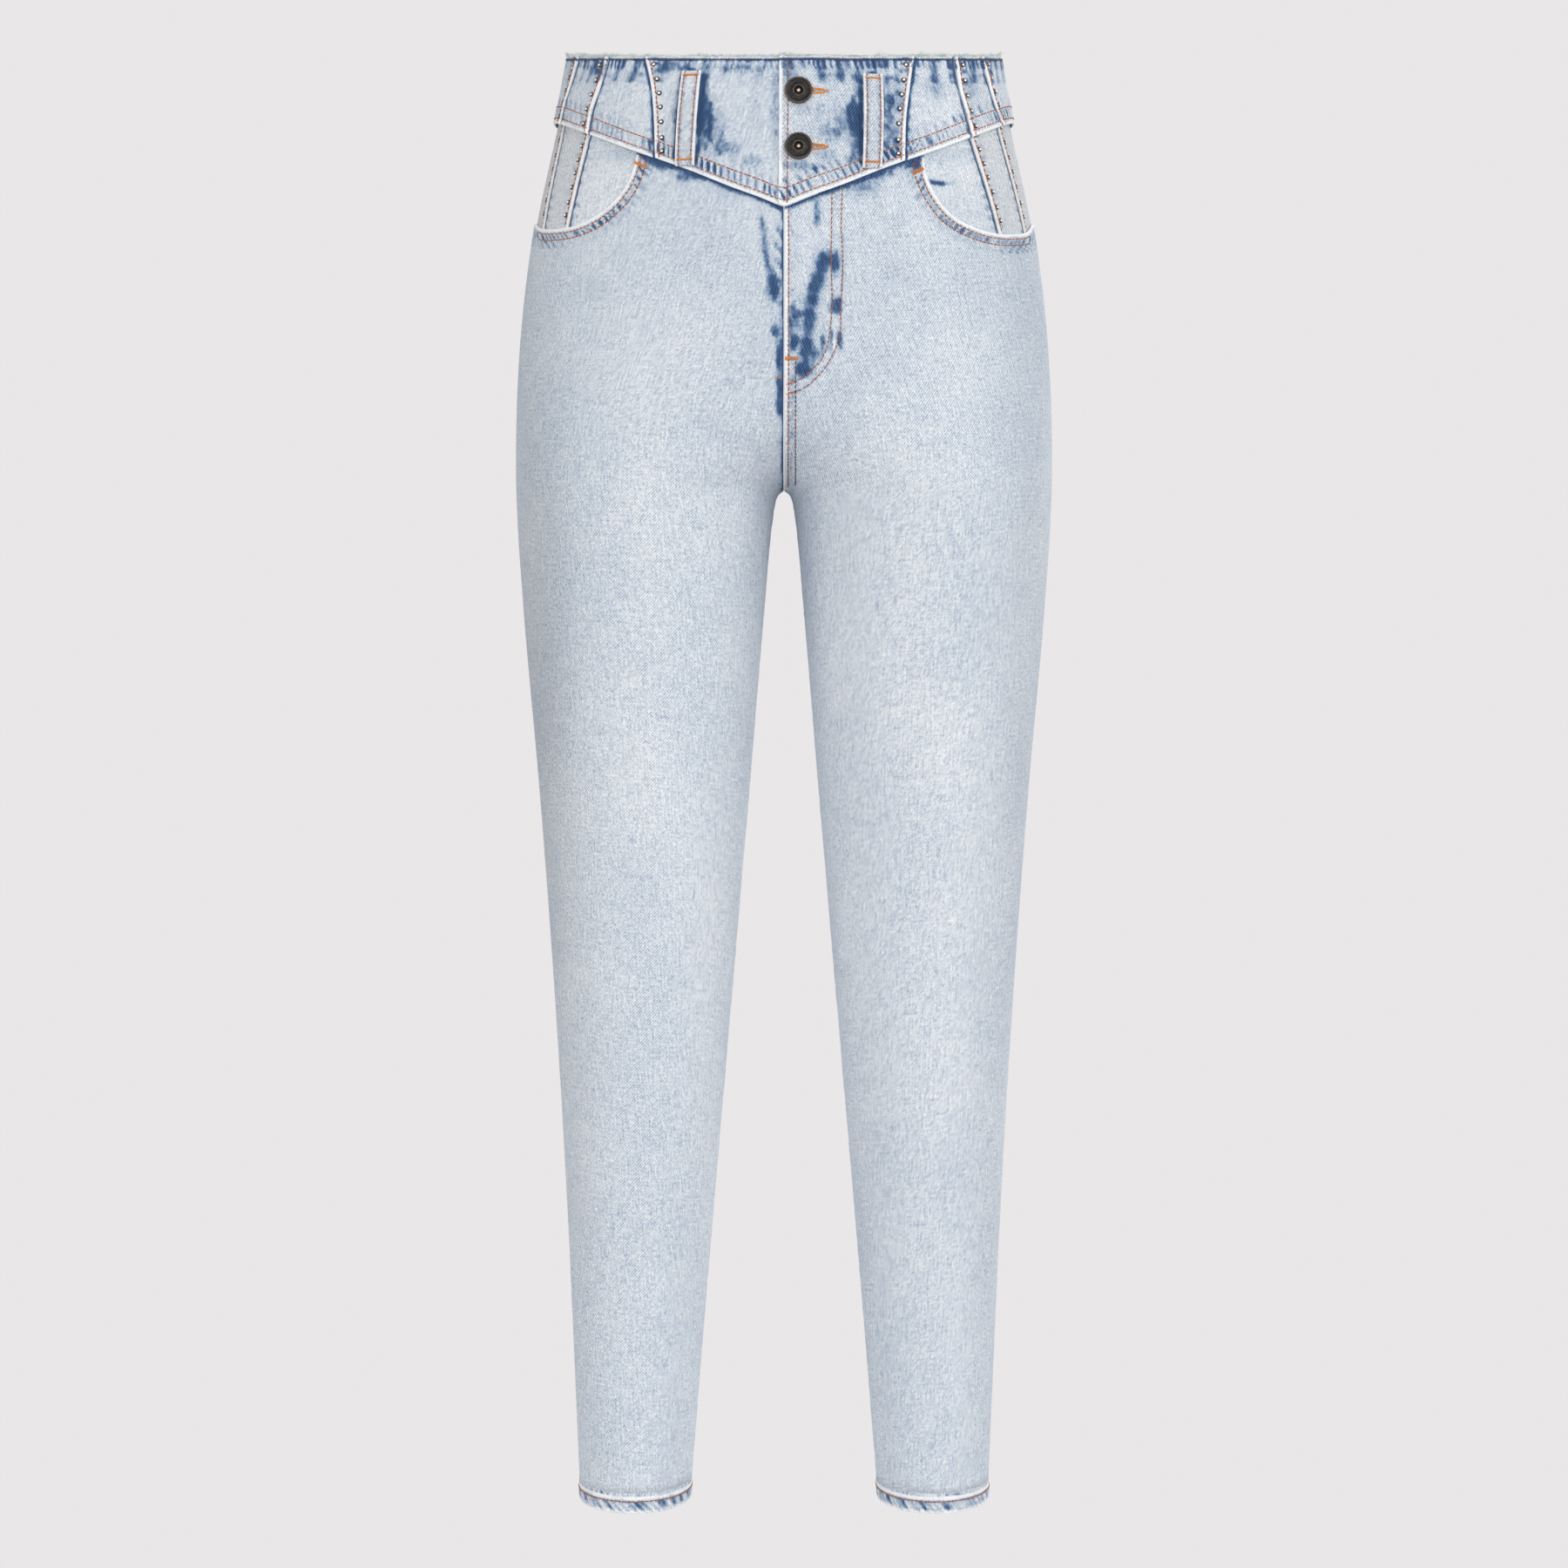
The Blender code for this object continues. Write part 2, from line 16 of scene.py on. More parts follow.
import bpy
import numpy as np
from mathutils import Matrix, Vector

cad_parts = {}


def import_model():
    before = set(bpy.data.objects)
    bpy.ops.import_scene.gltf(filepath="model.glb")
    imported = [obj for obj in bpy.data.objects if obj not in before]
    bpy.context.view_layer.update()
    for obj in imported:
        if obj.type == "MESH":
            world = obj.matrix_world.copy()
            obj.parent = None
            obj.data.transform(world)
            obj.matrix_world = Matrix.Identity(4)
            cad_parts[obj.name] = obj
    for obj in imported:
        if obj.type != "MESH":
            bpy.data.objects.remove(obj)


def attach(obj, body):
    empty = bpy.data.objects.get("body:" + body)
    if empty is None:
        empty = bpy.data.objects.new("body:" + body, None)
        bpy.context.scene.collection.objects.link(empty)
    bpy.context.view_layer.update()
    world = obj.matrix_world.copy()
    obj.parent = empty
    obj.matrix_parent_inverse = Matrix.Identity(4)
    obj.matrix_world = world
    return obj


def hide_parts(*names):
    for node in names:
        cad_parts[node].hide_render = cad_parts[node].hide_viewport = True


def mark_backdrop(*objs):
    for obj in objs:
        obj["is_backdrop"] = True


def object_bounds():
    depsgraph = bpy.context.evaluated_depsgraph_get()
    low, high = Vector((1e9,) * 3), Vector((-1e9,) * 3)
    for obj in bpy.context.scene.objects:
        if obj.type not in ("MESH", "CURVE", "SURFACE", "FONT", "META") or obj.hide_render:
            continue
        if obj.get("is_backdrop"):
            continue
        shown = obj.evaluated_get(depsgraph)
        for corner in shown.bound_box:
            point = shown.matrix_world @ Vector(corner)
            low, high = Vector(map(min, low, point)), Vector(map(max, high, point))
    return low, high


log = logging.getLogger("jeans")

MM = 0.001

# Cloth and seams
WALL = 1.2
GAP = 0.3
HALF_SEAM = 0.2
LOOP_WALL = 1.6
HEM_WALL = 2.4
# The radius of a rounded edge, as a share of the wall
EDGE_ROUNDING = 0.44

# The fork, where the legs part
FORK_DROP = 275.5
FRONT_FORK_HEIGHT = 92.0
BACK_FORK_HEIGHT = 116.0
FORK_EASE = 1.5
FORK_ARCH = 5.0
FORK_ARCH_REACH = 2.5

# Edges
HEM_DROP = 916.6
HEM_DEPTH = 13.0
HEM_TILT = 0.065
SIDE_SEAM = 0.03

# The form: how close the points of its ring crowd into the valley over the fork, the step in turn that its
# directions are measured over, and how often locate() halves the turns that are left
VALLEY_CROWD = 1.6
TURN_STEP = 0.004
HALVINGS = 34

# The front is laid out as it reads in an elevation seen from this distance and this far below the waist
VIEW_DISTANCE = 2600.0
VIEW_DROP = 464.0
WAIST_TILT = VIEW_DROP / VIEW_DISTANCE
VIEW_WIDTH = 999.0
SENSOR = 36.0

# How far up behind the yoke the leg panels and the pocket facings reach, as shares of its height
LEG_TUCK = 0.88
FACING_TUCK = 0.80
MOUTH_EDGE = 8.0

# Arcs of the yoke: a centre panel, the back panel's part before the side seam, and its part behind it
CENTRE_ARC = 77.0
SIDE_ARC = 42.0
BACK_ARC = 215.0

# Fastening
STAND_REACH = 26.0
FLY_EDGE = 3.4
OVERLAP_RISE = (26.0, 42.0)
BUTTON_ACROSS = 9.2
BUTTON_DROPS = (22.2, 57.7)
SLIT_REACH = 17.0
SLIT_HALF = 0.7

# Belt loops
LOOP_WIDTH = 12.0
LOOP_LENGTH = 61.0
LOOP_BOW = 5.6
BACK_LOOP_TURN = 0.45
BACK_LOOP_TOP = 5.0

# Sewing
STITCH = 2.9
STITCH_SHARE = 0.88
THREAD_RADIUS = 0.45
TACK_PITCH = 0.55
TACK_RADIUS = 0.3
STUD_PITCH = 9.6

# Rows of stitching and of studs, by their distances from an edge
YOKE_ROWS = (3.6, 11.0)
RAW_EDGE_ROW = 1.8
STUDDED_ROW = 2.9
STUD_ROW = 5.0
FACING_STUD_ROW = 4.8
FLY_EDGE_ROW = 5.6
MOUTH_ROWS = (3.2, 7.2)
SEAT_ROWS = (2.4, 8.6)
HEM_ROW = 7.8
LOOP_ROW = 2.1
LOOP_TACK_ROW = 3.4

# The corners of a four-sided rod
CORNERS = np.radians([45, 135, 225, 315])

# The centre front of the legs, from under the yoke to the fork, as (across, drop)
FLY_LINE = ((0, 88), (0, 180), (0, 276.5))


class Side(Enum):
    """The wearer's sides. The value is the sign of X."""

    LEFT = 1
    RIGHT = -1

    @property
    def label(self) -> str:
        """The side's name as the pieces carry it."""
        return self.name.lower()


class Edge(Enum):
    """The edges of a panel as it is seen from outside, with the first column at its front."""

    TOP = "top"
    BOTTOM = "bottom"
    FRONT = "front"
    BACK = "back"


class Plane(Enum):
    """The flat layouts that a mark on the cloth can be placed in."""

    FRONT_VIEW = "front view"
    BACK_VIEW = "back view"


@dataclass(frozen=True)
class Section:
    """One level of the garment: its half width, the inner edge of a leg, both depths and its fullness."""

    drop: float
    outer: float
    inner: float
    front: float
    back: float
    fullness: float


SECTIONS = (
    Section(-30, 131.5, 0.0, 84, 90, 2.25),
    Section(0, 136.6, 0.0, 88, 96, 2.25),
    Section(42, 144.6, 0.0, 93, 104, 2.25),
    Section(109, 158.8, 0.0, 101, 120, 2.25),
    Section(186, 168.0, 0.0, 106, 131, 2.25),
    Section(253, 170.4, 3.6, 103, 124, 2.2),
    Section(277, 170.2, 5.0, 101, 118, 2.15),
    Section(297, 169.4, 7.6, 99, 113, 2.1),
    Section(353, 165.6, 12.6, 94, 103, 2.05),
    Section(464, 155.8, 21.8, 86, 90, 2.0),
    Section(630, 143.7, 36.0, 74, 77, 2.0),
    Section(741, 137.4, 45.5, 62, 77, 2.0),
    Section(852, 132.4, 54.7, 51, 71, 2.0),
    Section(940, 128.6, 61.6, 46, 63, 2.0),
)

# The lower edge of the yoke on the front, as (across, drop), and round the back, as (turn, drop)
V_LINE = ((0, 95.5), (15, 89.6), (30, 84.2), (60, 72.3), (98, 59.0), (121, 50.5), (140, 43.5))
V_LINE_BACK = ((0.30, 44.0), (0.65, 52.0), (1.0, 63.0))


@dataclass(frozen=True)
class MouthPoint:
    """A point of the pocket mouths: the yoke column above it, its (across, drop) on each side of the
    garment, and how far across the front panel the cloth below it runs to at the fork."""

    column: float
    right: tuple[float, float]
    left: tuple[float, float]
    runs_to: float


MOUTH_COLUMN = {Side.RIGHT: 0.22, Side.LEFT: 0.25}
MOUTH = (
    MouthPoint(0.50, (95.5, 68.3), (91.2, 76.0), 0.27),
    MouthPoint(0.62, (100.2, 80.5), (96.8, 87.7), 0.35),
    MouthPoint(0.74, (109.0, 92.0), (106.8, 99.9), 0.44),
    MouthPoint(0.87, (123.5, 103.0), (122.5, 108.6), 0.55),
    MouthPoint(1.0, (138.5, 108.4), (138.0, 112.5), 0.66),
    MouthPoint(1.5, (147.0, 109.4), (147.0, 112.6), 0.75),
    MouthPoint(2.0, (154.2, 109.0), (154.5, 111.6), 0.83),
)
# From the last studded seam to the side seam: column, turn, drop and how far across it runs to
MOUTH_SIDE = ((2.5, -0.09, 108.6, 0.92), (3.0, SIDE_SEAM, 107.4, 1.0))
# Where the facing's studded seams meet the mouth, as numbers of its points
FACING_SEAMS = (0, 5, 7, 9)
# The panels of a facing from the front to the side, each with how much greyer it is drawn
FACING_GREY = {"front": 0.1, "middle": 0.4, "side": 0.55}

# The three studded seams of the yoke from the front to the side: share, and across on each side
YOKE_SEAMS = (
    ((0, 82.6, 88.1), (0.3, 80.0, 84.4), (0.6, 77.7, 82.8), (1, 77.0, 81.9)),
    ((0, 107.6, 110.9), (0.4, 111.0, 116.5), (0.7, 115.3, 121.5), (1, 118.9, 123.8)),
    ((0, 124.5, 129.4), (0.4, 129.5, 134.5), (0.7, 133.5, 138.5), (1, 138.5, 141.2)),
)

# The panels behind the centre one: first and last column, and about how wide and how tall each is
YOKE_PANELS = (("front", 0, 1, 36, 62), ("side", 1, 2, 21, 52), ("back", 2, 4, 250, 58))

# The front belt loops: the middle of each at its top and its bottom, as (across, drop)
FRONT_LOOPS = {
    Side.LEFT: ((55.6, 11.5), (55.4, 71.5)),
    Side.RIGHT: ((57.8, 9.5), (62.4, 70.0)),
}


def smooth(x: np.ndarray, xs: np.ndarray, ys: np.ndarray) -> np.ndarray:
    """The height at x of a curve through the points (xs, ys), with no sudden change of slope.

    Formula: between two points, the cubic that has their heights and their slopes, each slope being taken
    from the points beside it.

    Args:
        x: Where to read the curve.
        xs: The points' places, rising.
        ys: The points' heights.

    Returns:
        The heights at x.
    """
    x, xs, ys = np.asarray(x, float), np.asarray(xs, float), np.asarray(ys, float)
    slopes = np.gradient(ys, xs)
    i = np.clip(np.searchsorted(xs, x) - 1, 0, len(xs) - 2)
    wide = xs[i + 1] - xs[i]
    t = np.clip((x - xs[i]) / wide, 0, 1)
    return (
        (2 * t**3 - 3 * t**2 + 1) * ys[i]
        + (t**3 - 2 * t**2 + t) * wide * slopes[i]
        + (3 * t**2 - 2 * t**3) * ys[i + 1]
        + (t**3 - t**2) * wide * slopes[i + 1]
    )


def step_up(x: np.ndarray, low: float, high: float) -> np.ndarray:
    """0 below low, 1 above high, and 3t^2 - 2t^3 between them."""
    t = np.clip((x - low) / (high - low), 0, 1)
    return t * t * (3 - 2 * t)


def wander(x: np.ndarray, seed: int) -> np.ndarray:
    """An uneven line from 0 to 1, with about one bump for each unit of x.

    Formula: chance values at the whole numbers, with a smooth step between each two.

    Args:
        x: Where to read the line.
        seed: Which line.

    Returns:
        Its heights.
    """
    values = np.random.default_rng(seed).random(1024)
    whole = np.floor(x).astype(int)
    t = step_up(x - whole, 0, 1)
    return values[whole % 1024] * (1 - t) + values[(whole + 1) % 1024] * t


def mottle(x: np.ndarray, y: np.ndarray, seed: int) -> np.ndarray:
    """Uneven patches from 0 to 1, with about one patch for each unit of x and y.

    Formula: chance values at the corners of a square grid, with smooth steps between them.

    Args:
        x: First coordinate.
        y: Second coordinate.
        seed: Which pattern.

    Returns:
        The pattern's values.
    """
    values = np.random.default_rng(seed).random((128, 128))
    across, down = np.floor(x).astype(int), np.floor(y).astype(int)
    t, u = step_up(x - across, 0, 1), step_up(y - down, 0, 1)
    upper, lower = (
        values[across % 128, row % 128] * (1 - t) + values[(across + 1) % 128, row % 128] * t
        for row in (down, down + 1)
    )
    return upper * (1 - u) + lower * u


def graded(length: float, pitch: float) -> np.ndarray:
    """Shares of a length from 0 to 1, about a pitch apart and close together at both ends."""
    inner = np.linspace(1.0, length - 1.0, max(2, round((length - 2) / pitch) + 1))
    ends = np.array([0.0, 0.2, 0.5])
    return np.concatenate([ends, inner, (length - ends)[::-1]]) / length


def length_along(points: np.ndarray, axis: int) -> np.ndarray:
    """The length run from the first point of a grid along one axis."""
    run = np.cumsum(np.linalg.norm(np.diff(points, axis=axis), axis=-1), axis=axis)
    first = np.zeros_like(np.take(run, [0], axis=axis))
    return np.concatenate([first, run], axis=axis)


def unit(vectors: np.ndarray) -> np.ndarray:
    """The vectors with a length of 1."""
    return vectors / np.maximum(np.linalg.norm(vectors, axis=-1, keepdims=True), 1e-9)


class GarmentForm:
    """The shape that the jeans are filled out to, in millimetres, for the half on the wearer's left."""

    def __init__(self) -> None:
        """Reads the tables, and measures the girth and the yoke's edge once."""
        self.drops = np.array([s.drop for s in SECTIONS], float)
        names = ("outer", "inner", "front", "back", "fullness")
        self.table = {name: np.array([getattr(s, name) for s in SECTIONS], float) for name in names}
        self.girth_turns = np.linspace(-1, 1, 401)
        # Rows 2.5 mm apart, and 0.25 mm apart at the fork, where the ring changes fast
        self.girth_drops = np.concatenate([
            np.arange(-40.0, 250.0, 2.5), np.arange(250.0, 290.0, 0.25), np.arange(290.0, 960.0, 2.5),
        ])
        ring = self.surface(self.girth_turns[None, :], -self.girth_drops[:, None])
        run = length_along(ring, 1)
        seam = np.argmin(np.abs(self.girth_turns - SIDE_SEAM))
        self.girth_table = run - run[:, seam:seam + 1]
        turns, heights = self.locate(*np.array(V_LINE, float).T)
        self.edge_turns = np.concatenate([turns, [t for t, _ in V_LINE_BACK]])
        self.edge_heights = np.concatenate([heights, [-d for _, d in V_LINE_BACK]])
        self.seam_shares = np.linspace(0, 1, 21)
        self.seam_turns = {side: [self._seam(rows, side) for rows in YOKE_SEAMS] for side in Side}

    def at_height(self, name: str, z: np.ndarray) -> np.ndarray:
        """A column of the section table at height z."""
        return smooth(-z, self.drops, self.table[name])

    def surface(self, turn: np.ndarray, z: np.ndarray) -> np.ndarray:
        """Points of the garment form.

        Formula: each level is a ring with x = centre - half |cos a|^(2/n) and y = depth |sin a|^(2/n), which
        carry the signs of cos a and of the turn. Above the fork the two halves meet in a valley, which
        starts at the angle where the ring crosses the middle. A turn below -1 runs on past the centre front.

        Args:
            turn: Places round the half ring.
            z: Heights.

        Returns:
            An array of points, one more dimension than the places.
        """
        turn, z = np.broadcast_arrays(np.asarray(turn, float), np.asarray(z, float))
        past = turn < -1
        turn = np.where(past, -2 - turn, turn)
        behind = turn > 0
        outer, fullness = self.at_height("outer", z), self.at_height("fullness", z)
        depth = np.where(behind, self.at_height("back", z), self.at_height("front", z))
        above = z + FORK_DROP
        reach = np.where(behind, BACK_FORK_HEIGHT, FRONT_FORK_HEIGHT)
        parted = np.clip(1 - above / reach, 0, 1) ** FORK_EASE
        arch = FORK_ARCH * np.exp(np.minimum(above, 0) / FORK_ARCH_REACH)
        inner = np.where(above < 0, np.maximum(self.at_height("inner", z) - arch, 0), 0)
        centre = np.where(above < 0, (outer + inner) / 2, outer * parted / (1 + parted))
        first = np.where(above < 0, 0.0, np.arccos(np.clip(parted ** (fullness / 2), 0, 1)))
        share = 1 - np.abs(turn)
        crowd = 1 + VALLEY_CROWD * (1 - first / (math.pi / 2))
        angle = math.pi * share + first * np.clip(1 - share, 0, None) ** crowd
        c, s = np.cos(angle), np.sin(angle)
        x = centre - (outer - centre) * np.sign(c) * np.abs(c) ** (2 / fullness)
        y = np.sign(turn) * depth * np.abs(s) ** (2 / fullness)
        return np.stack([np.where(past, -x, x), y, z], axis=-1)

    def outward(self, turn: np.ndarray, z: np.ndarray) -> np.ndarray:
        """The direction that the form faces: the cross product of the ways along and up it.

        Args:
            turn: Places round the half ring.
            z: Heights.

        Returns:
            Unit vectors.
        """
        turn, z = np.broadcast_arrays(np.asarray(turn, float), np.asarray(z, float))
        low = np.where((turn - TURN_STEP < -1) & (turn >= -1), turn, turn - TURN_STEP)
        along = self.surface(np.minimum(turn + TURN_STEP, 1), z) - self.surface(low, z)
        up = self.surface(turn, z + 0.5) - self.surface(turn, z - 0.5)
        return unit(np.cross(along, up))

    def locate(self, across: np.ndarray, drop: np.ndarray) -> tuple[np.ndarray, np.ndarray]:
        """The turns and heights of places that the front elevation shows at (across, drop).

        Formula: the turn is halved in on between the centre front and the side until the form's x agrees
        with across, nearer places being drawn larger.

        Args:
            across: Distances from the middle.
            drop: Distances below the waist.

        Returns:
            The turns and the heights.
        """
        across, drop = np.abs(np.asarray(across, float)), np.asarray(drop, float)
        low, high = np.full(across.shape, -1.0), np.full(across.shape, 0.02)
        z = -drop
        for _ in range(HALVINGS):
            turn = (low + high) / 2
            for _ in range(2):
                nearness = 1 + self.surface(turn, z)[..., 1] / VIEW_DISTANCE
                z = -VIEW_DROP + (VIEW_DROP - drop) * nearness
            short = self.surface(turn, z)[..., 0] < across * nearness
            low, high = np.where(short, turn, low), np.where(short, high, turn)
        return (low + high) / 2, z

    def pace(self, turn: np.ndarray, z: np.ndarray) -> np.ndarray:
        """How many millimetres a whole turn would be at the speed the ring has at this place."""
        step = np.where(np.asarray(turn) + TURN_STEP > 1, -TURN_STEP, TURN_STEP)
        return np.linalg.norm(self.surface(turn + step, z) - self.surface(turn, z), axis=-1) / TURN_STEP

    def stepped(self, turn: np.ndarray, z: np.ndarray, distance: float) -> np.ndarray:
        """The turn that lies this far along the ring from turn."""
        return turn + distance / self.pace(turn, z)

    def girth(self, turn: np.ndarray, z: np.ndarray) -> np.ndarray:
        """The length round the ring from the side seam, read between the rows and columns of a table."""
        turn, z = np.broadcast_arrays(np.asarray(turn, float), np.asarray(z, float))
        past = turn < -1
        column = (np.where(past, -2 - turn, turn) + 1) / 2 * (len(self.girth_turns) - 1)
        c = np.clip(np.floor(column).astype(int), 0, len(self.girth_turns) - 2)
        r = np.clip(np.searchsorted(self.girth_drops, -z, side="right") - 1, 0, len(self.girth_drops) - 2)
        high, low = self.girth_drops[r], self.girth_drops[r + 1]
        t, u = column - c, np.clip((-z - high) / (low - high), 0, 1)
        table = self.girth_table
        value = (table[r, c] * (1 - t) + table[r, c + 1] * t) * (1 - u)
        value += (table[r + 1, c] * (1 - t) + table[r + 1, c + 1] * t) * u
        edge = table[r, 0] * (1 - u) + table[r + 1, 0] * u
        return np.where(past, 2 * edge - value, value)

    def waist_z(self, turn: np.ndarray) -> np.ndarray:
        """The height of the raw top edge, which lies in one plane that dips to the front."""
        z = np.zeros(np.shape(turn))
        for _ in range(5):
            z = WAIST_TILT * self.surface(turn, z)[..., 1]
        return z

    def yoke_end_z(self, turn: np.ndarray) -> np.ndarray:
        """The height of the yoke's lower edge."""
        turn = np.asarray(turn, float)
        return smooth(np.where(turn < -1, -2 - turn, turn), self.edge_turns, self.edge_heights)

    def yoke_z(self, turn: np.ndarray, share: np.ndarray) -> np.ndarray:
        """The height at a share of the way down the yoke."""
        return self.waist_z(turn) * (1 - share) + self.yoke_end_z(turn) * share

    def _seam(self, rows: tuple, side: Side) -> np.ndarray:
        """The turns of a studded seam at the seam shares."""
        rows = np.array(rows, float)
        across = smooth(self.seam_shares, rows[:, 0], rows[:, 1 if side is Side.LEFT else 2])
        line = np.array(V_LINE, float)
        return self.locate(across, self.seam_shares * smooth(across, line[:, 0], line[:, 1]))[0]

    def yoke_turns(self, side: Side, columns: np.ndarray, shares: np.ndarray) -> np.ndarray:
        """The turns of yoke columns at shares of its height.

        Args:
            side: Which half.
            columns: Columns from -1 at the centre front to 4 at the centre back.
            shares: Shares from the top edge to the bottom edge.

        Returns:
            A grid with a row for each share.
        """
        columns, shares = np.asarray(columns, float), np.asarray(shares, float)
        seams = [np.interp(shares, self.seam_shares, turns) for turns in self.seam_turns[side]]
        ends = [np.full(shares.shape, value) for value in (SIDE_SEAM, 1.0)]
        edges = np.stack([np.full(shares.shape, -1.0), *seams, *ends], axis=1)
        i = np.clip(np.floor(columns + 1).astype(int), 0, 4)
        t = columns + 1 - i
        return edges[:, i] * (1 - t) + edges[:, i + 1] * t

    def hem_z(self, turn: np.ndarray, above: float) -> np.ndarray:
        """A line round the leg this far above its lower edge, which dips a little to the front."""
        z = np.full(np.shape(turn), -HEM_DROP)
        return z + HEM_TILT * self.surface(turn, z)[..., 1] + above


FORM = GarmentForm()


class Places:
    """Where the points of a grid lie on the garment, in each of the flat layouts."""

    def __init__(self, side: Side, turn: np.ndarray, z: np.ndarray) -> None:
        """Works out the front elevation and the girth of every point.

        Args:
            side: Which half of the garment.
            turn: Places round the half ring.
            z: Heights.
        """
        self.side = side
        self.turn, self.z = np.broadcast_arrays(np.asarray(turn, float), np.asarray(z, float))
        point = FORM.surface(self.turn, self.z)
        nearness = 1 + point[..., 1] / VIEW_DISTANCE
        self.x = side.value * point[..., 0]
        self.across = self.x / nearness
        self.drop = VIEW_DROP - (self.z + VIEW_DROP) / nearness
        self.girth = FORM.girth(self.turn, self.z)

    def on(self, plane: Plane) -> tuple[np.ndarray, np.ndarray]:
        """The two coordinates in one layout, with what the layout doesn't show moved far off."""
        far = 1e4
        if plane is Plane.FRONT_VIEW:
            return np.where(self.turn < SIDE_SEAM, self.across, far), self.drop
        return np.where(self.turn > SIDE_SEAM, self.x, far), -self.z


@dataclass
class Marks:
    """What the marks on the cloth do at each point: lift in millimetres, the rest from 0 to 1. The dark mark
    holds both the cloth's own dark blue and painted shade.
    """

    lift: np.ndarray
    wear: np.ndarray
    indigo: np.ndarray
    grey: np.ndarray

    @classmethod
    def blank(cls, shape: tuple) -> "Marks":
        """Unmarked cloth."""
        return cls(*(np.zeros(shape) for _ in range(4)))


def nearest(points: np.ndarray, x: np.ndarray, y: np.ndarray) -> tuple[np.ndarray, np.ndarray, float]:
    """How far each place is from a line of points, and how far along the line its nearest point is.

    Formula: the smallest of the distances to the line's straight pieces, each cut off at its ends. It is
    above 0 on the right of the line's way and below 0 on its left, with drop counted downwards.

    Args:
        points: The line.
        x: First coordinates of the places.
        y: Second coordinates of the places.

    Returns:
        The distances, the lengths along, and the line's whole length.
    """
    best, side, along, run = np.full(x.shape, 1e9), np.ones(x.shape), np.zeros(x.shape), 0.0
    for (ax, ay), (bx, by) in zip(points[:-1], points[1:]):
        dx, dy = bx - ax, by - ay
        long = math.hypot(dx, dy)
        t = np.clip(((x - ax) * dx + (y - ay) * dy) / long**2, 0, 1)
        off_x, off_y = x - ax - t * dx, y - ay - t * dy
        distance = np.hypot(off_x, off_y)
        closer = distance < best
        best = np.where(closer, distance, best)
        side = np.where(closer, np.sign(off_x * dy - off_y * dx), side)
        along = np.where(closer, run + t * long, along)
        run += long
    return best * side, along, run


def curve(points: tuple, count: int = 24) -> np.ndarray:
    """A smooth line through a few points, at even lengths along them."""
    points = np.array(points, float)
    run = length_along(points, 0)
    t = np.linspace(0, run[-1], count)
    return np.stack([smooth(t, run, points[:, 0]), smooth(t, run, points[:, 1])], axis=1)


@dataclass(frozen=True)
class Fold:
    """A soft uneven trough, with a depth below 0, or ridge, that fades out at both ends of its line."""

    points: tuple
    width: float
    depth: float
    plane: Plane = Plane.FRONT_VIEW
    wear: float = 0.0
    indigo: float = 0.0
    seed: int = 1

    def mark(self, places: Places, marks: Marks) -> None:
        """Adds the fold: depth times exp(-(distance / width)^2), uneven along it and tapered."""
        away, along, whole = nearest(curve(self.points, 12), *places.on(self.plane))
        uneven = 0.65 + 0.7 * wander(along / 11 + 3.3 * self.seed, self.seed)
        wide = self.width * (0.75 + 0.5 * wander(along / 17 + 1.7 * self.seed, self.seed + 50))
        taper = np.sin(math.pi * np.clip(along / whole, 0, 1)) ** 0.7
        shape = np.exp(-((away / wide) ** 2)) * taper * uneven
        marks.lift += self.depth * shape
        marks.wear += self.wear * shape
        marks.indigo += self.indigo * shape


@dataclass(frozen=True)
class Line:
    """A crisp mark along a line: a ridge or groove, worn pale or kept dark, and beside the belt loops and the
    fly's folded edge dark as painted shadow.
    """

    points: tuple
    width: float
    lift: float = 0.0
    wear: float = 0.0
    indigo: float = 0.0
    plane: Plane = Plane.FRONT_VIEW
    seed: int = 7

    def mark(self, places: Places, marks: Marks) -> None:
        """Adds the mark: exp(-(distance / width)^2), its strength uneven along it."""
        away, along, whole = nearest(curve(self.points, 30), *places.on(self.plane))
        ends = step_up(along, -0.01, 7) * step_up(whole - along, -0.01, 7)
        shape = np.exp(-((away / self.width) ** 2)) * ends
        uneven = 0.55 + 0.6 * wander(along / 4.5, self.seed)
        marks.lift += self.lift * shape
        marks.wear += self.wear * shape * uneven
        marks.indigo += self.indigo * shape * uneven


@dataclass(frozen=True)
class Blot:
    """A patch where the cloth kept its dark blue, or with wear where it was worn pale, with a ragged outline.
    """

    across: float
    drop: float
    wide: float
    tall: float
    indigo: float = 0.0
    wear: float = 0.0
    lift: float = 0.0
    plane: Plane = Plane.FRONT_VIEW

    def mark(self, places: Places, marks: Marks) -> None:
        """Adds the patch: full inside an oval, none outside it, with mottled edges."""
        x, y = places.on(self.plane)
        ragged = mottle(x / 3.1 + 31, y / 4.4 + 17, 5) - 0.5
        away = np.hypot((x - self.across) / self.wide, (y - self.drop) / self.tall)
        shape = step_up(1.7 - away + 0.9 * ragged, 0, 1.35)
        marks.indigo += self.indigo * shape
        marks.wear += self.wear * shape
        marks.lift += self.lift * shape


@dataclass(frozen=True)
class Haze:
    """A broad soft patch, darker, or with a value below 0 paler. On the legs some are painted shade, darker
    and greyer down the outer sides, and some painted light, paler on the inner sides that turn away from the
    lamps.
    """

    across: float
    drop: float
    wide: float
    tall: float
    indigo: float
    grey: float = 0.0
    plane: Plane = Plane.FRONT_VIEW

    def mark(self, places: Places, marks: Marks) -> None:
        """Adds the patch: exp(-(distance / size)^2)."""
        x, y = places.on(self.plane)
        shape = np.exp(-(((x - self.across) / self.wide) ** 2) - ((y - self.drop) / self.tall) ** 2)
        marks.indigo += self.indigo * shape
        marks.grey += self.grey * shape


